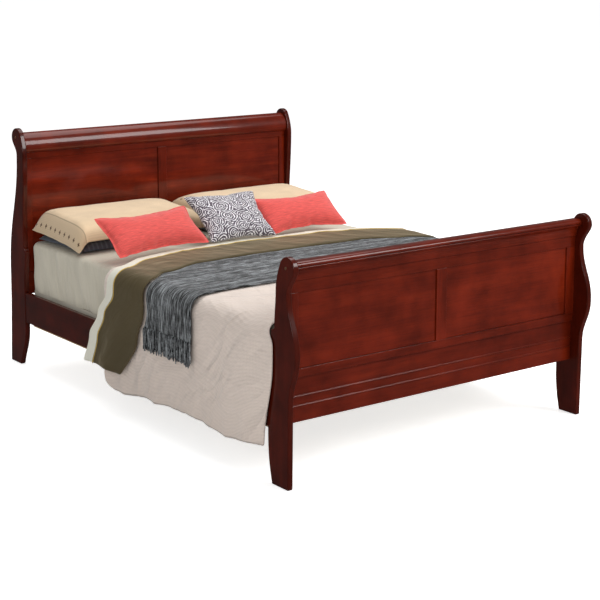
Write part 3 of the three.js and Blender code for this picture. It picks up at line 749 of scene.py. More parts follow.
def slab(low, high, corner, edge, base, cell):
    """A box with rounded upright corners and softer rounded edges, cut into cells."""
    bm = bmesh.new()
    size = high - low
    bmesh.ops.create_cube(bm, size=1.0)
    bmesh.ops.scale(bm, vec=size, verts=bm.verts)
    bmesh.ops.translate(bm, vec=(low + high) / 2, verts=bm.verts)
    upright = [e for e in bm.edges if abs(e.verts[0].co.z - e.verts[1].co.z) > size.z / 2]
    bmesh.ops.bevel(bm, geom=upright, offset=corner, segments=5, profile=0.5, affect="EDGES", material=-1)
    for level, radius in ((high.z, edge), (low.z, base)):
        rim = [
            e for e in bm.edges if all(
                abs(v.co.z - level) < 1e-6 for v in e.verts
            ) and e.calc_face_angle() > 1.2
        ]
        bmesh.ops.bevel(bm, geom=rim, offset=radius, segments=4, profile=0.5, affect="EDGES", material=-1)
    for axis in range(3):
        count = int(size[axis] / cell)
        for i in range(1, count):
            point = low.copy()
            point[axis] = low[axis] + size[axis] * i / count
            normal = Vector((axis == 0, axis == 1, axis == 2))
            geometry = [*bm.verts, *bm.edges, *bm.faces]
            bmesh.ops.bisect_plane(bm, geom=geometry, plane_co=point, plane_no=normal)
    return bm


def box_uv(bm, middle):
    """Gives each face a flat map in metres, from above or from the side it looks to."""
    layer = bm.loops.layers.uv.new("UVMap")
    for face in bm.faces:
        normal = face.normal
        for loop in face.loops:
            x, y, z = loop.vert.co - middle
            if abs(normal.z) > 0.7:
                loop[layer].uv = (x, y)
            elif abs(normal.x) > abs(normal.y):
                loop[layer].uv = (z, y)
            else:
                loop[layer].uv = (z, x)


def sheet_crease(point):
    """How far the fitted sheet stands off the mattress: slanting pulls on the sides, calm on top."""
    pull = noise.noise(Vector((point.x * 0.9, point.y * 6.5 - point.z * 5.2, point.z * 1.6)))
    fine = noise.noise(Vector((point.x * 2, point.y * 19 - point.z * 10, point.z * 4)))
    ridge = (1 - abs(pull)) ** 5
    return 0.0075 * ridge + 0.0022 * fine


class BED_OT_mattress(bpy.types.Operator):
    """Makes the mattress in its fitted sheet, and the foundation under it"""

    bl_idname = "bed.make_mattress"
    bl_label = "Make mattress"

    def execute(self, context):
        linen = context.scene.bed_linen
        low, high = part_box("mattress")
        inset = Vector((0.003, 0.003, 0.001))
        bm = slab(low + inset, high - inset, corner=0.036, edge=0.024, base=0.002, cell=0.034)
        bm.normal_update()
        middle = (low + high) / 2
        for vert in bm.verts:
            calm = 0.3 if vert.normal.z > 0.5 else 1.0
            vert.co += vert.normal * sheet_crease(vert.co) * calm
        box_uv(bm, middle)
        mattress = new_piece("mattress_in_sheet", bm, sheet_cotton(tuple(linen.sheet)), ["mattress"])
        subdivide(mattress)
        low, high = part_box("foundation")
        bm = slab(low, high, corner=0.036, edge=0.001, base=0.012, cell=0.2)
        foundation = new_piece("foundation_in_ticking", bm, ticking_cotton(), ["foundation"])
        return {"FINISHED"}


# ---------------------------------------------------------------- cloth over the bed


SHOULDER = 0.062  # radius in which a layer turns down over the long edge of the mattress


class Layer:
    """One layer of cloth over the bed: where its middle surface lies across the bed and down the sides."""

    def __init__(self, half, top, hem):
        self.half, self.top = half, top
        self.level = half - SHOULDER
        self.turned = self.level + SHOULDER * math.pi / 2
        self.drop = top - SHOULDER - hem
        self.reach = self.turned + self.drop

    def at(self, s):
        """Place and outward direction, s metres of cloth from the middle of the bed."""
        a, side = abs(s), math.copysign(1, s)
        if a <= self.level:
            return Vector((s, 0, self.top)), Vector((0, 0, 1))
        if a <= self.turned:
            turn = (a - self.level) / SHOULDER
            x = self.level + SHOULDER * math.sin(turn)
            z = self.top - SHOULDER * (1 - math.cos(turn))
            return Vector((side * x, 0, z)), Vector((side * math.sin(turn), 0, math.cos(turn)))
        return Vector((side * self.half, 0, self.top - SHOULDER - (a - self.turned))), Vector(
            (side, 0, 0)
        )

    def down(self, s):
        """0 on the bed, rising to 1 half a metre down the side."""
        return smooth_step(self.level, self.turned + 0.5, abs(s))


def shared_wave(layer, s, y, depth):
    """Soft folds that all layers share, so that they stay apart: swags on top, waves at the sides."""
    side = 1.7 if s > 0 else 0.0
    hang = math.sin(y * 17.5 + side + 1.6 * math.sin(y * 4.1 + side)) * 0.6
    hang += noise.noise(Vector((y * 6.5, side, s * 1.4))) * 0.9
    puff = noise.noise(Vector((s * 3.1, y * 3.4, 2.5))) * 0.0026
    pull = (
        1 - abs(noise.noise(Vector((s * 2.4 - abs(y) * 1.1, y * 4.6 + abs(s) * 3.4, 7.7))))
    ) ** 4 * 0.0034
    down = layer.down(s)
    return depth * hang * down + puff + pull * (0.35 + 0.65 * down)


def cloth_grid(columns, rows):
    """A flat grid from -1 to 1 in x and 0 to 1 in y."""
    bm = bmesh.new()
    bmesh.ops.create_grid(bm, x_segments=columns, y_segments=rows, size=1.0)
    for vert in bm.verts:
        vert.co.y = (vert.co.y + 1) / 2
    return bm


def write_uv(bm, flat):
    """flat is each vertex's place on the uncut cloth, in metres."""
    layer = bm.loops.layers.uv.new("UVMap")
    for face in bm.faces:
        for loop in face.loops:
            loop[layer].uv = flat[loop.vert]


HEM_CORNER = 0.085
FOOT_SWELL = 0.014  # how far the coverlet stands out beside the mattress just before the footboard post
PAST_POST = 0.05  # how far its side edge reaches past the post's rear edge, on the outside
CORNER_FILL = 0.018  # how far the top of the coverlet reaches towards the post at the bed's foot corners
HEM_LEFT = (
    (-1.03, 0.143),
    (-0.91, 0.138),
    (-0.745, 0.122),
    (-0.574, 0.142),
    (-0.164, 0.127),
    (0.02, 0.104),
    (0.2, 0.100),
)
HEM_RIGHT = ((-1.0, 0.222), (-0.6, 0.145), (-0.3, 0.128), (0.2, 0.112))


def bare_folds(layer, s, y):
    """Deeper folds of the coverlet alone, between the throw and the foot and below what lies over it."""
    bare = 1 - smooth_step(-0.66, -0.55, y)
    low = smooth_step(layer.turned + 0.24, layer.turned + 0.4, abs(s))
    down = layer.down(s)
    slant = noise.noise(Vector((y * 5.2 - abs(s) * 2.6, abs(s) * 1.1, 5.0 + (s > 0))))
    hang = noise.noise(Vector((y * 7.5 + abs(s) * 1.4, abs(s) * 0.8, 9.0 + (s > 0))))
    crease = (1 - abs(slant)) ** 8 * 0.015 + (1 - abs(hang)) ** 9 * 0.012 * down
    small = noise.noise(Vector((s * 14, y * 11 + abs(s) * 7, 3.0))) * 0.002
    swell = FOOT_SWELL * down * smooth_step(-1.02, -0.86, y) * (1 - smooth_step(-0.82, -0.62, y))
    return (crease * (0.45 + 0.55 * down) + small + swell) * max(bare, low)


class BED_OT_coverlet(bpy.types.Operator):
    """Makes the quilted coverlet, which hangs down both sides and is tucked in at the foot"""

    bl_idname = "bed.make_coverlet"
    bl_label = "Make coverlet"

    def execute(self, context):
        linen = context.scene.bed_linen
        low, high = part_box("coverlet")
        thickness = 0.011
        layer = Layer(half=high.x - 0.012, top=high.z - 0.008, hem=low.z + 0.018)
        tuck_y = low.y + 0.008
        tuck = 0.29
        corner = 0.012
        turn = corner * math.pi / 2
        side_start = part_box("footboard_post_left")[1].y + 0.006
        length = tuck + turn + high.y - tuck_y - corner
        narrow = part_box("mattress")[1].x - 0.004
        columns, rows = 128, 80
        bm = cloth_grid(columns, rows)
        flat = {}
        start_t = tuck + turn + side_start - tuck_y - corner
        start_row = round(rows * start_t / length)
        for vert in bm.verts:
            row = vert.co.y * rows
            if row <= start_row:
                vert.co.y = start_t * row / start_row
            else:
                vert.co.y = start_t + (length - start_t) * (row - start_row) / (rows - start_row)
        hidden = []
        for face in bm.faces:
            middle = face.calc_center_median()
            if abs(middle.x) * layer.reach > narrow and middle.y < start_t:
                hidden.append(face)
        bmesh.ops.delete(bm, geom=hidden, context="FACES")
        for vert in bm.verts:
            s, t = vert.co.x * layer.reach, vert.co.y
            away = max(0.0, (abs(s) - (layer.reach - HEM_CORNER)) / HEM_CORNER)
            shorten = HEM_CORNER * (1 - math.sqrt(max(0.0, 1 - away * away)))
            t -= shorten * smooth_step(length * 0.8, length, t)
            flat[vert] = (s, t)
            place, outward = layer.at(s)
            if t < tuck:
                place.y, place.z = tuck_y, layer.top - corner - (tuck - t)
            elif t < tuck + turn:
                angle = (t - tuck) / corner
                place.y = tuck_y + corner * (1 - math.cos(angle))
                place.z += corner * (math.sin(angle) - 1)
            else:
                place.y = tuck_y + corner + t - tuck - turn
                calm = smooth_step(side_start - 0.05, side_start + 0.12, place.y)
                lift = shared_wave(layer, s, place.y, linen.side_wave) + bare_folds(layer, s, place.y)
                place += outward * lift * calm
                closer = 1 - smooth_step(side_start - 0.01, side_start + 0.16, place.y)
                place.x -= math.copysign(
                    0.0105 * closer * smooth_step(layer.level, layer.turned, abs(s)), s
                )
                beside = smooth_step(layer.turned - 0.035, layer.turned + 0.01, abs(s))
                past_post = beside * (1 - smooth_step(layer.turned + 0.1, layer.reach, abs(s)))
                corner_fill = smooth_step(narrow - 0.02, narrow, abs(s)) * (1 - beside)
                reach_on = PAST_POST * past_post + CORNER_FILL * corner_fill
                place.y -= reach_on * (1 - smooth_step(side_start, side_start + 0.2, place.y))
                below = layer.top - SHOULDER - place.z
                if below > 0:
                    hem = along(HEM_LEFT if s < 0 else HEM_RIGHT, place.y)
                    place.z = layer.top - SHOULDER - below * (layer.top - SHOULDER - hem) / layer.drop
            vert.co = place
        write_uv(bm, flat)
        coverlet = new_piece(
            "coverlet_quilted",
            bm,
            quilted_coverlet(tuple(linen.coverlet), layer.reach - 0.009),
            ["coverlet"],
        )
        add_modifier(coverlet, "SOLIDIFY", thickness=thickness, offset=0.0)
        subdivide(coverlet)
        return {"FINISHED"}


FOOT_EDGE = (
    (0.0, 0.008),
    (0.45, -0.008),
    (0.68, -0.09),
    (0.80, -0.163),
    (0.96, -0.165),
    (1.08, -0.112),
    (1.25, -0.002),
)
HEAD_EDGE = (
    (0.0, 0.310),
    (0.37, 0.296),
    (0.58, 0.240),
    (0.80, 0.128),
    (0.91, 0.135),
    (1.02, 0.215),
    (1.13, 0.285),
    (1.27, 0.335),
)


DUVET_THICKNESS = 0.011
PIPING_STEPS = 220


def cord(route, radius):
    """A round cord through the points of a route, closed at both ends."""
    bm = bmesh.new()
    ring = bmesh.ops.create_circle(bm, segments=6, radius=radius, cap_ends=True)["verts"]
    first = ring[:]
    face = next(iter(ring[0].link_faces))
    aim = (route[1] - route[0]).normalized()
    turn = Vector((0, 0, 1)).rotation_difference(aim).to_matrix()
    bmesh.ops.rotate(bm, cent=(0, 0, 0), matrix=turn, verts=ring)
    bmesh.ops.translate(bm, vec=route[0], verts=ring)
    flat = {vert: (0.0, radius * math.tau * i / 6) for i, vert in enumerate(ring)}
    length = 0.0
    for before, point, after in zip(route, route[1:], route[2:] + route[-1:]):
        length += (point - before).length
        face = bmesh.ops.extrude_discrete_faces(bm, faces=[face])["faces"][0]
        ring = list(face.verts)
        bmesh.ops.translate(bm, vec=point - before, verts=ring)
        ahead = (after - before).normalized()
        turn = aim.rotation_difference(ahead).to_matrix()
        bmesh.ops.rotate(bm, cent=point, matrix=turn, verts=ring)
        aim = ahead
        flat.update({vert: (length, radius * math.tau * i / 6) for i, vert in enumerate(ring)})
    bmesh.ops.contextual_create(bm, geom=first)
    bmesh.ops.recalc_face_normals(bm, faces=bm.faces)
    write_uv(bm, flat)
    return bm


class BED_OT_duvet(bpy.types.Operator):
    """Makes the turned-down part of the olive duvet, with its cream border and piping"""

    bl_idname = "bed.make_duvet_fold"
    bl_label = "Make duvet fold"

    def execute(self, context):
        linen = context.scene.bed_linen
        low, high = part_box("coverlet_fold")
        layer = Layer(half=high.x - 0.0065, top=high.z - 0.0065, hem=low.z + 0.004)
        bm = cloth_grid(columns=150, rows=26)
        flat = {}

        def edges(s):
            """Where the fold's foot and head edges are, s metres from the middle of the bed."""
            sway = 0.02 * noise.noise(Vector((s * 2.2, 4.0, 0)))
            return along(FOOT_EDGE, abs(s)) + sway, along(HEAD_EDGE, abs(s)) + sway

        def over(s, v):
            """The fold's surface at s, and at v from its foot edge (0) to its head edge (1)."""
            foot, head = edges(s)
            down = layer.down(s)
            hem_corner = max(0.0, (abs(s) - (layer.reach - 0.06)) / 0.06)
            y = foot + (head - foot) * v + 0.03 * hem_corner**2 * (1 - v) ** 4
            place, outward = layer.at(s)
            place.y = y
            lift = shared_wave(layer, s, y, linen.side_wave)
            gather = math.sin(v * 9.5 + s * 2.0) * 0.5 + 0.5
            lift += down**1.5 * (0.004 + 0.013 * gather * smooth_step(0, 0.25, v))
            fluff = math.sin(math.pi * min(1.0, v * 1.02)) ** 0.5
            lift += 0.003 * fluff + 0.0028 * (
                1 - abs(noise.noise(Vector((s * 9, y * 5 + s * 4, 1.0))))
            ) ** 3
            return place + outward * lift, outward, head - y

        for vert in bm.verts:
            s = vert.co.x * layer.reach
            place, outward, inward = over(s, vert.co.y)
            flat[vert] = (s, inward)
            vert.co = place
        write_uv(bm, flat)
        cloth = olive_duvet(tuple(linen.duvet), tuple(linen.border))
        duvet = new_piece("duvet_fold", bm, cloth, ["coverlet_fold"])
        add_modifier(duvet, "SOLIDIFY", thickness=DUVET_THICKNESS, offset=0.0)
        subdivide(duvet)
        route = []
        for i in range(PIPING_STEPS + 1):
            s = layer.reach * (2 * i / PIPING_STEPS - 1)
            foot, head = edges(s)
            inward = BORDER_WIDTH + PIPING_DARK + PIPING_GOLD / 2
            place, outward, _ = over(s, 1 - inward / (head - foot))
            route.append(place + outward * DUVET_THICKNESS / 2)
        gold = plain_cotton("gold_piping_cotton", tuple(linen.piping))
        piping = new_piece("duvet_piping", cord(route, PIPING_GOLD / 2), gold, ["coverlet_fold"])
        return {"FINISHED"}


THROW_FOOT = ((0.0, -0.520), (0.60, -0.516), (0.80, -0.530), (1.30, -0.532))
THROW_HEAD = (
    (0.0, 0.0),
    (0.45, -0.016),
    (0.68, -0.098),
    (0.80, -0.185),
    (0.94, -0.195),
    (1.08, -0.15),
    (1.25, -0.12),
)
FRINGE_LENGTH = 0.088
TASSEL_WIDTH = 0.0068


def tassel(bm, root, outward, length, width, chance):
    """One knotted tassel: a five-sided strand drawn out along a wavering line, thicker at the knot."""
    ring = bmesh.ops.create_circle(bm, segments=5, radius=width / 2, cap_ends=True)["verts"]
    start = root + outward * chance.uniform(-0.001, 0.003)
    bmesh.ops.translate(bm, vec=start, verts=ring)
    face = next(f for f in ring[0].link_faces if len(f.verts) == 5)
    sway = Vector((0, chance.uniform(-0.010, 0.010), 0))
    out = chance.uniform(0.0, 0.005)
    sections = 6
    bottom = start
    for i in range(1, sections + 1):
        t = i / sections
        wiggle = math.sin(t * 5 + chance.uniform(0, 6)) * 0.0012
        target = start + Vector((0, 0, -length * t)) + sway * t * t + outward * (out * t + wiggle)
        made = bmesh.ops.extrude_discrete_faces(bm, faces=[face])["faces"][0]
        bmesh.ops.translate(bm, vec=target - bottom, verts=made.verts)
        size = 1.25 if i == 1 else (0.7 if i == sections else 0.96)
        bmesh.ops.scale(bm, vec=(size,) * 3, verts=made.verts, space=Matrix.Translation(-target))
        bottom = target
        face = made
    bmesh.ops.contextual_create(bm, geom=ring)


class BED_OT_throw(bpy.types.Operator):
    """Makes the grey throw across the bed and the fringe on its two ends"""

    bl_idname = "bed.make_throw"
    bl_label = "Make throw"

    def execute(self, context):
        linen = context.scene.bed_linen
        low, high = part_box("throw_blanket")
        layer = Layer(half=high.x - 0.006, top=high.z - 0.0065, hem=low.z + FRINGE_LENGTH)
        bm = cloth_grid(columns=128, rows=34)
        flat = {}
        chance = random.Random(11)

        def over(s, v):
            foot, head = along(THROW_FOOT, abs(s)), along(THROW_HEAD, abs(s))
            y = foot + (head - foot) * v
            place, outward = layer.at(s)
            place.y = y
            down = layer.down(s)
            gather = math.sin(v * 34 + math.sin(v * 9) * 2 + (1.5 if s > 0 else 0)) * 0.5 + 0.5
            lift = shared_wave(layer, s, y, linen.side_wave) + 0.0075 * down * gather
            return place + outward * lift, outward, y

        for vert in bm.verts:
            s, v = vert.co.x * layer.reach, vert.co.y
            end = math.copysign(1, s) if abs(vert.co.x) > 0.999 else 0
            place, outward, y = over(s, v)
            flat[vert] = (s, y)
            vert.co = place
            if end:
                vert.co.z += chance.uniform(-0.004, 0.004)
        write_uv(bm, flat)
        wool = streaked_throw(tuple(linen.throw_light), tuple(linen.throw_dark))
        throw = new_piece("throw_woven", bm, wool, ["throw_blanket"])
        add_modifier(throw, "SOLIDIFY", thickness=0.007, offset=0.0)
        subdivide(throw)
        fringe = bmesh.new()
        for side in (-1, 1):
            for row in range(2):
                for i in range(linen.fringe_count):
                    v = (i + 0.5 * row + chance.uniform(0.1, 0.9)) / (linen.fringe_count + 0.5)
                    knot = layer.reach - chance.uniform(0.004, 0.016)
                    root, outward, y = over(side * knot, v)
                    root += outward * (0.002 + 0.0035 * row)
                    length = FRINGE_LENGTH * chance.uniform(0.85, 1.15)
                    tassel(fringe, root, outward, length, TASSEL_WIDTH, chance)
        bmesh.ops.recalc_face_normals(fringe, faces=fringe.faces)
        uv = fringe.loops.layers.uv.new("UVMap")
        for face in fringe.faces:
            for loop in face.loops:
                loop[uv].uv = (loop.vert.co.z, loop.vert.co.y * 1.7)
        tassels = new_piece("throw_fringe", fringe, wool, ["throw_blanket"])
        return {"FINISHED"}


# ---------------------------------------------------------------- pillows


def cushion_blank(width, depth, cell):
    """Two panels of cloth joined by a narrow strip, flat, as a cushion is cut."""
    bm = bmesh.new()
    columns, rows = round(width / cell), round(depth / cell)
    bmesh.ops.create_grid(bm, x_segments=columns, y_segments=rows, size=0.5)
    bmesh.ops.scale(bm, vec=(width, depth, 1), verts=bm.verts)
    made = bmesh.ops.extrude_face_region(bm, geom=bm.faces[:])
    upper = [v for v in made["geom"] if isinstance(v, bmesh.types.BMVert)]
    bmesh.ops.translate(bm, vec=(0, 0, 0.006), verts=upper)
    bmesh.ops.translate(bm, vec=(0, 0, -0.003), verts=bm.verts)
    bmesh.ops.recalc_face_normals(bm, faces=bm.faces)
    layer = bm.loops.layers.uv.new("UVMap")
    for face in bm.faces:
        for loop in face.loops:
            loop[layer].uv = loop.vert.co.xy
    return bm


END_FACE = 0.045  # cloth that stands upright at the blunt end of a pillow


def filled_out(place, upper, size, lying, blunt=0):
    """Where a point of a full cushion is: its sides nearly straight, crowned in the middle. place is the
    point's place on the flat cloth. A lying cushion has its seam at the bottom and a flat underside, and its end on
    the blunt side (-1 or 1) falls steeply."""
    a, b = 2 * place.x / size[0], 2 * place.y / size[1]
    full = (max(0.0, 1 - a**4) * max(0.0, 1 - b**4)) ** 0.46
    x = place.x * (1 - 0.02 * (1 - b * b))
    y = place.y * (1 - 0.03 * (1 - a * a))
    if a * blunt > 0:
        run = size[0] / 2 * (1 - abs(a))
        run -= END_FACE * (1 - math.exp(-run / 0.036)) * abs(a)
        a = math.copysign(1 - run / (size[0] / 2), a)
        x = a * size[0] / 2
    half = size[2] / 2
    if not lying:
        return Vector((x, y, half * full if upper else -half * full))
    full = (max(0.0, 1 - abs(a) ** (9 if a * blunt > 0 else 5)) * max(0.0, 1 - abs(b) ** 5)) ** 0.42
    return Vector((x, y, -half * 0.92 + (2 * half * 0.96 * full if upper else 0.0)))


def stuffed(
    name,
    width,
    depth,
    thickness,
    seed,
    cell=0.0135,
    pressure=4.5,
    frames=22,
    lying=False,
    fullness=0.6,
    blunt=0,
):
    """A stuffed cushion's mesh at the origin: the flat blank is blown up as cloth, so that its seams pull in
    and pucker, and is then brought to its real size."""
    bm = cushion_blank(width, depth, cell)
    size = (width, depth, thickness)
    ideal = [filled_out(vert.co, vert.co.z > 0, size, lying, blunt) for vert in bm.verts]
    chance = random.Random(seed)
    for vert in bm.verts:
        vert.co.z += chance.uniform(-0.0012, 0.0012)
    mesh = bpy.data.meshes.new(name + "_blank")
    bm.to_mesh(mesh)
    bm.free()
    blank = bpy.data.objects.new(name + "_blank", mesh)
    bpy.context.scene.collection.objects.link(blank)
    cloth = add_modifier(blank, "CLOTH")
    settings = cloth.settings
    settings.quality = 6
    settings.mass = 0.25
    settings.air_damping = 4.0
    settings.tension_stiffness = settings.compression_stiffness = 18
    settings.shear_stiffness = 6
    settings.bending_stiffness = 0.35
    settings.use_pressure = True
    settings.uniform_pressure_force = pressure
    settings.effector_weights.gravity = 0
    cloth.collision_settings.use_collision = False
    cloth.point_cache.frame_start, cloth.point_cache.frame_end = 1, frames
    scene = bpy.context.scene
    for number in range(1, frames + 1):
        scene.frame_set(number)
    graph = bpy.context.evaluated_depsgraph_get()
    blown = bmesh.new()
    blown.from_mesh(blank.evaluated_get(graph).to_mesh())
    bpy.data.objects.remove(blank)
    scene.frame_set(1)
    bmesh.ops.smooth_vert(
        blown, verts=blown.verts, factor=0.4, use_axis_x=True, use_axis_y=True, use_axis_z=True
    )
    span = Vector(
        [max(v.co[i] for v in blown.verts) - min(v.co[i] for v in blown.verts) for i in range(3)]
    )
    bmesh.ops.scale(blown, vec=(width / span.x, depth / span.y, thickness / span.z), verts=blown.verts)
    for vert, place in zip(blown.verts, ideal):
        vert.co = vert.co.lerp(place, fullness)
    return blown


def seam_strip(bm):
    """The faces of the narrow strip between a cushion's two panels."""
    layer = bm.loops.layers.uv["UVMap"]
    return [f for f in bm.faces if abs(sum(cross_area(f, layer))) < 1e-9]


def cross_area(face, layer):
    points = [loop[layer].uv for loop in face.loops]
    return [a.x * b.y - a.y * b.x for a, b in zip(points, points[1:] + points[:1])]


def add_flange(bm, reach):
    """Draws the seam out into a flat flange of reach(vertex) metres."""
    bm.normal_update()
    strip = seam_strip(bm)
    made = bmesh.ops.extrude_face_region(bm, geom=strip)
    verts = [v for v in made["geom"] if isinstance(v, bmesh.types.BMVert)]
    high = Vector([max(v.co[i] for v in bm.verts) for i in range(3)])
    for vert in verts:
        flat = Vector((vert.co.x / high.x, vert.co.y / high.y, 0))
        corner = abs(flat.x) > 0.9 and abs(flat.y) > 0.9
        if corner:
            outward = Vector((math.copysign(1, flat.x), math.copysign(1, flat.y), 0)) * 0.75
        elif abs(flat.x) > abs(flat.y):
            outward = Vector((math.copysign(1, flat.x), 0, 0))
        else:
            outward = Vector((0, math.copysign(1, flat.y), 0))
        vert.co += outward * reach(vert)
    bmesh.ops.delete(bm, geom=[f for f in strip if f.is_valid], context="FACES_ONLY")


def settle(bm, turn, middle, shape=None):
    """Turns a cushion into place. shape moves its points first, in the cushion's own frame."""
    if shape:
        for vert in bm.verts:
            vert.co = shape(vert.co)
    bm.transform(Matrix.Translation(middle) @ turn.to_matrix().to_4x4())
    bmesh.ops.recalc_face_normals(bm, faces=bm.faces)


def middle_of(node):
    low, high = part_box(node)
    return (low + high) / 2


def make_cushion(
    node, material, size, turn, seed, fill, shape=None, flange=0.0, nudge=(0, 0, 0), **stuffing
):
    """Stuffs one cushion and lays it where its CAD solid is. nudge moves it where soft neighbours press
    together."""
    bm = stuffed(node, *size, seed, **stuffing)
    if flange:
        add_flange(bm, lambda vert: flange)
    settle(bm, turn, middle_of(node) + Vector(nudge), shape)
    piece = new_piece(f"{node}_stuffed", bm, material, [node])
    subdivide(piece)
    return piece


SHAM_LEAN = math.radians(4)


class BED_OT_pillows(bpy.types.Operator):
    """Makes the two charcoal pillows and the two sand shams that lie on them"""

    bl_idname = "bed.make_pillows"
    bl_label = "Make pillows"

    def execute(self, context):
        linen = context.scene.bed_linen
        charcoal = plain_cotton("charcoal_pillow_cotton", tuple(linen.under_pillow), linear("#5a606b"))
        sand = cuffed_sham(tuple(linen.sham), tuple(linen.stitching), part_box("pillow_sham_left"))
        for side, sign in SIDES:
            low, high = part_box(f"sleeping_pillow_{side}")
            size = high - low
            make_cushion(
                f"sleeping_pillow_{side}",
                charcoal,
                (size.x, size.y, size.z),
                Euler((0, 0, 0)),
                seed=3 + sign,
                fill=0.6,
                cell=0.018,
                lying=True,
                fullness=0.75,
            )
            low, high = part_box(f"pillow_sham_{side}")

            def droop(co, reach=(high.x - low.x) / 2, sign=sign):
                """The front and the outer end hang a little over the pillow below."""
                front = smooth_step(0.12, 0.25, -co.y)
                outer = smooth_step(reach * 0.84, reach * 1.0, co.x * sign)
                z = co.z - 0.006 * front - 0.042 * outer - 0.004 * front * outer
                return Vector((co.x, co.y, z))

            make_cushion(
                f"pillow_sham_{side}",
                sand,
                (high.x - low.x, 0.470, 0.094),
                Euler((SHAM_LEAN, 0, 0)),
                seed=7 + sign,
                fill=0.7,
                shape=droop,
                cell=0.0145,
                lying=True,
                fullness=0.8,
                blunt=sign,
            )
        return {"FINISHED"}


class BED_OT_cushions(bpy.types.Operator):
    """Makes the two coral lumbar cushions and the printed square one"""

    bl_idname = "bed.make_cushions"
    bl_label = "Make cushions"

    def execute(self, context):
        linen = context.scene.bed_linen
        coral = slub_cotton("coral_slub_cotton", tuple(linen.coral))
        printed = ring_print(tuple(linen.ink), tuple(linen.ground))
        lumbar = (0.516, 0.226, 0.094)
        square = (0.358, 0.328, 0.094)

        def spread(co):
            """The square cushion's top is pulled wide, towards the right."""
            up = (2 * co.y / square[1] + 1) / 2
            return Vector((co.x * (1 + 0.09 * up) + 0.018 * up, co.y, co.z))

        layout = (
            ("lumbar_cushion_left", coral, lumbar, 40, 8, 21, 0.010, None, (0, 0, 0)),
            (
                "lumbar_cushion_right",
                coral,
                (0.456, *lumbar[1:]),
                38,
                0,
                22,
                0.010,
                None,
                (-0.036, 0.010, -0.005),
            ),
            ("square_cushion", printed, square, 32, -4, 23, 0.0, spread, (0, -0.012, 0)),
        )
        for node, cloth, size, lean, turn, seed, flange, shape, nudge in layout:
            aim = Euler((math.radians(lean), 0, math.radians(turn)), "XYZ")
            look = {"fill": 0.8, "flange": flange, "shape": shape, "nudge": nudge}
            make_cushion(node, cloth, size, aim, seed, cell=0.0095, fullness=0.5, **look)
        return {"FINISHED"}


# ---------------------------------------------------------------- stage


FLOOR_GLOW = 0.68  # added to the floor where the camera sees it, so that it is white as well as lit
CAMERA_PLACE = Vector((-3.9874, -5.4247, 1.9991))
CAMERA_AZIMUTH = math.radians(37.066)
CAMERA_DROP = math.radians(9.80)
CAMERA_ROLL = math.radians(-0.097)


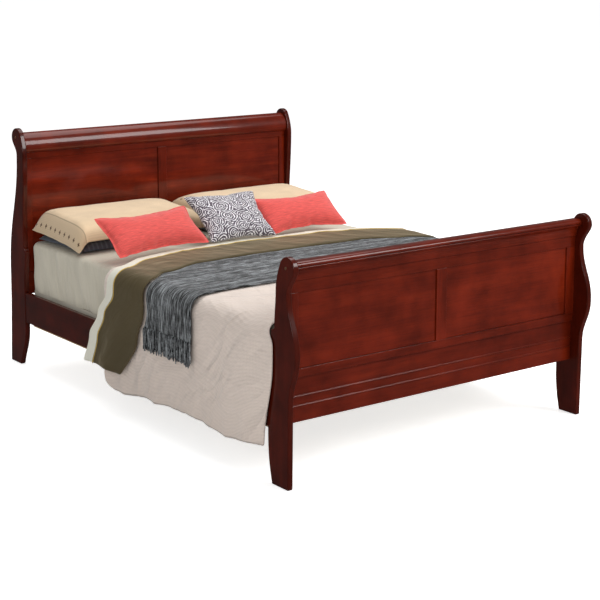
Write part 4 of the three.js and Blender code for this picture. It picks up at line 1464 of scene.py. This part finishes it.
class BED_OT_stage(bpy.types.Operator):
    """Sets the camera, the pale floor and the soft studio lights"""

    bl_idname = "bed.make_stage"
    bl_label = "Make stage"

    def execute(self, context):
        settings = context.scene.bed_stage
        scene = context.scene
        lens = bpy.data.cameras.new("bed_camera")
        lens.sensor_width = 36
        lens.lens = settings.focal_length
        lens.shift_y = -0.15
        lens.clip_end = 500
        camera = bpy.data.objects.new("bed_camera", lens)
        scene.collection.objects.link(camera)
        forward = Vector((math.sin(CAMERA_AZIMUTH), math.cos(CAMERA_AZIMUTH), -math.tan(CAMERA_DROP)))
        camera.location = CAMERA_PLACE
        camera.rotation_euler = (
            forward.to_track_quat("-Z", "Y") @ Euler((0, 0, -CAMERA_ROLL)).to_quaternion()
        ).to_euler()
        scene.camera = camera

        bm = bmesh.new()
        bmesh.ops.create_grid(bm, x_segments=1, y_segments=1, size=settings.floor_size / 2)
        bmesh.ops.translate(bm, vec=(0, 0, -0.001), verts=bm.verts)
        mesh = bpy.data.meshes.new("studio_floor")
        bm.to_mesh(mesh)
        bm.free()
        floor = bpy.data.objects.new("studio_floor", mesh)
        scene.collection.objects.link(floor)
        paint, tree, surface = new_material("matt_white_paper", Roughness=0.9)
        place = add_node(tree, "TexCoord").outputs["Object"]
        cloud = add_node(tree, "TexNoise", {"Vector": place, "Scale": 0.8})
        tone = set_stops(
            add_node(tree, "ValToRGB", {"Fac": cloud.outputs["Fac"]}), [
                (0.3, grey(0.90)), (0.7, grey(0.93))
            ]
        )
        tree.links.new(tone, surface.inputs["Base Color"])
        floor.data.materials.append(paint)
        light_path = add_node(tree, "LightPath")
        glow = add_node(
            tree, "Math", {0: light_path.outputs["Is Camera Ray"], 1: FLOOR_GLOW}, operation="MULTIPLY"
        )
        surface.inputs["Emission Color"].default_value = grey(1.0)
        tree.links.new(glow.outputs[0], surface.inputs["Emission Strength"])
        floor.visible_glossy = False

        world = bpy.data.worlds.new("studio_air")
        world.use_nodes = True
        air = world.node_tree
        air.nodes["Background"].inputs["Color"].default_value = linear("#ffffff")
        path = add_node(air, "LightPath")
        seen = add_node(
            air, "Math", {0: path.outputs["Is Camera Ray"], 1: 0.9, 2: 0.1}, operation="MULTIPLY_ADD"
        )
        shone = add_node(
            air, "Math", {
                0: path.outputs["Is Diffuse Ray"], 1: 0.29, 2: seen.outputs[0]
            }, operation="MULTIPLY_ADD"
        )
        air.links.new(shone.outputs[0], air.nodes["Background"].inputs["Strength"])
        scene.world = world
        scene.view_settings.view_transform = "Standard"
        scene.view_settings.look = "None"

        middle = Vector((0, 0, 0.5))
        lights = (
            ("key_softbox", (3.2, -5.2, 4.6), 3.0, 270),
            ("top_softbox", (0.6, 0.8, 5.2), 4.2, 170),
            ("left_fill", (-5.2, -4.6, 2.6), 1.6, 62),
        )
        for name, spot, size, power in lights:
            lamp = bpy.data.lights.new(name, "AREA")
            lamp.shape = "SQUARE"
            lamp.size = size
            lamp.energy = power
            light = bpy.data.objects.new(name, lamp)
            scene.collection.objects.link(light)
            light.location = spot
            light.rotation_euler = (middle - light.location).to_track_quat("-Z", "Y").to_euler()
        return {"FINISHED"}


class BED_PT_panel(bpy.types.Panel):
    """Lists the bed's makers in the sidebar"""

    bl_label = "Sleigh Bed"
    bl_idname = "BED_PT_panel"
    bl_space_type = "VIEW_3D"
    bl_region_type = "UI"
    bl_category = "Sleigh Bed"

    def draw(self, context):
        for maker in MAKERS:
            self.layout.operator(maker.bl_idname)
        for group in (context.scene.bed_wood, context.scene.bed_linen, context.scene.bed_stage):
            for name in group.__annotations__:
                self.layout.prop(group, name)


MAKERS = (
    BED_OT_ends,
    BED_OT_hardware,
    BED_OT_mattress,
    BED_OT_coverlet,
    BED_OT_duvet,
    BED_OT_throw,
    BED_OT_pillows,
    BED_OT_cushions,
    BED_OT_stage,
)
SETTINGS = {"bed_wood": BedWoodSettings, "bed_linen": BedLinenSettings, "bed_stage": BedStageSettings}


def register():
    for group in SETTINGS.values():
        bpy.utils.register_class(group)
    for name, group in SETTINGS.items():
        setattr(bpy.types.Scene, name, PointerProperty(type=group))
    for maker in (*MAKERS, BED_PT_panel):
        bpy.utils.register_class(maker)


def unregister():
    for maker in reversed((*MAKERS, BED_PT_panel)):
        bpy.utils.unregister_class(maker)
    for name, group in SETTINGS.items():
        delattr(bpy.types.Scene, name)
        bpy.utils.unregister_class(group)


def main():
    register()
    for maker in MAKERS:
        space, name = maker.bl_idname.split(".")
        getattr(getattr(bpy.ops, space), name)()


if __name__ == "__main__":
    main()
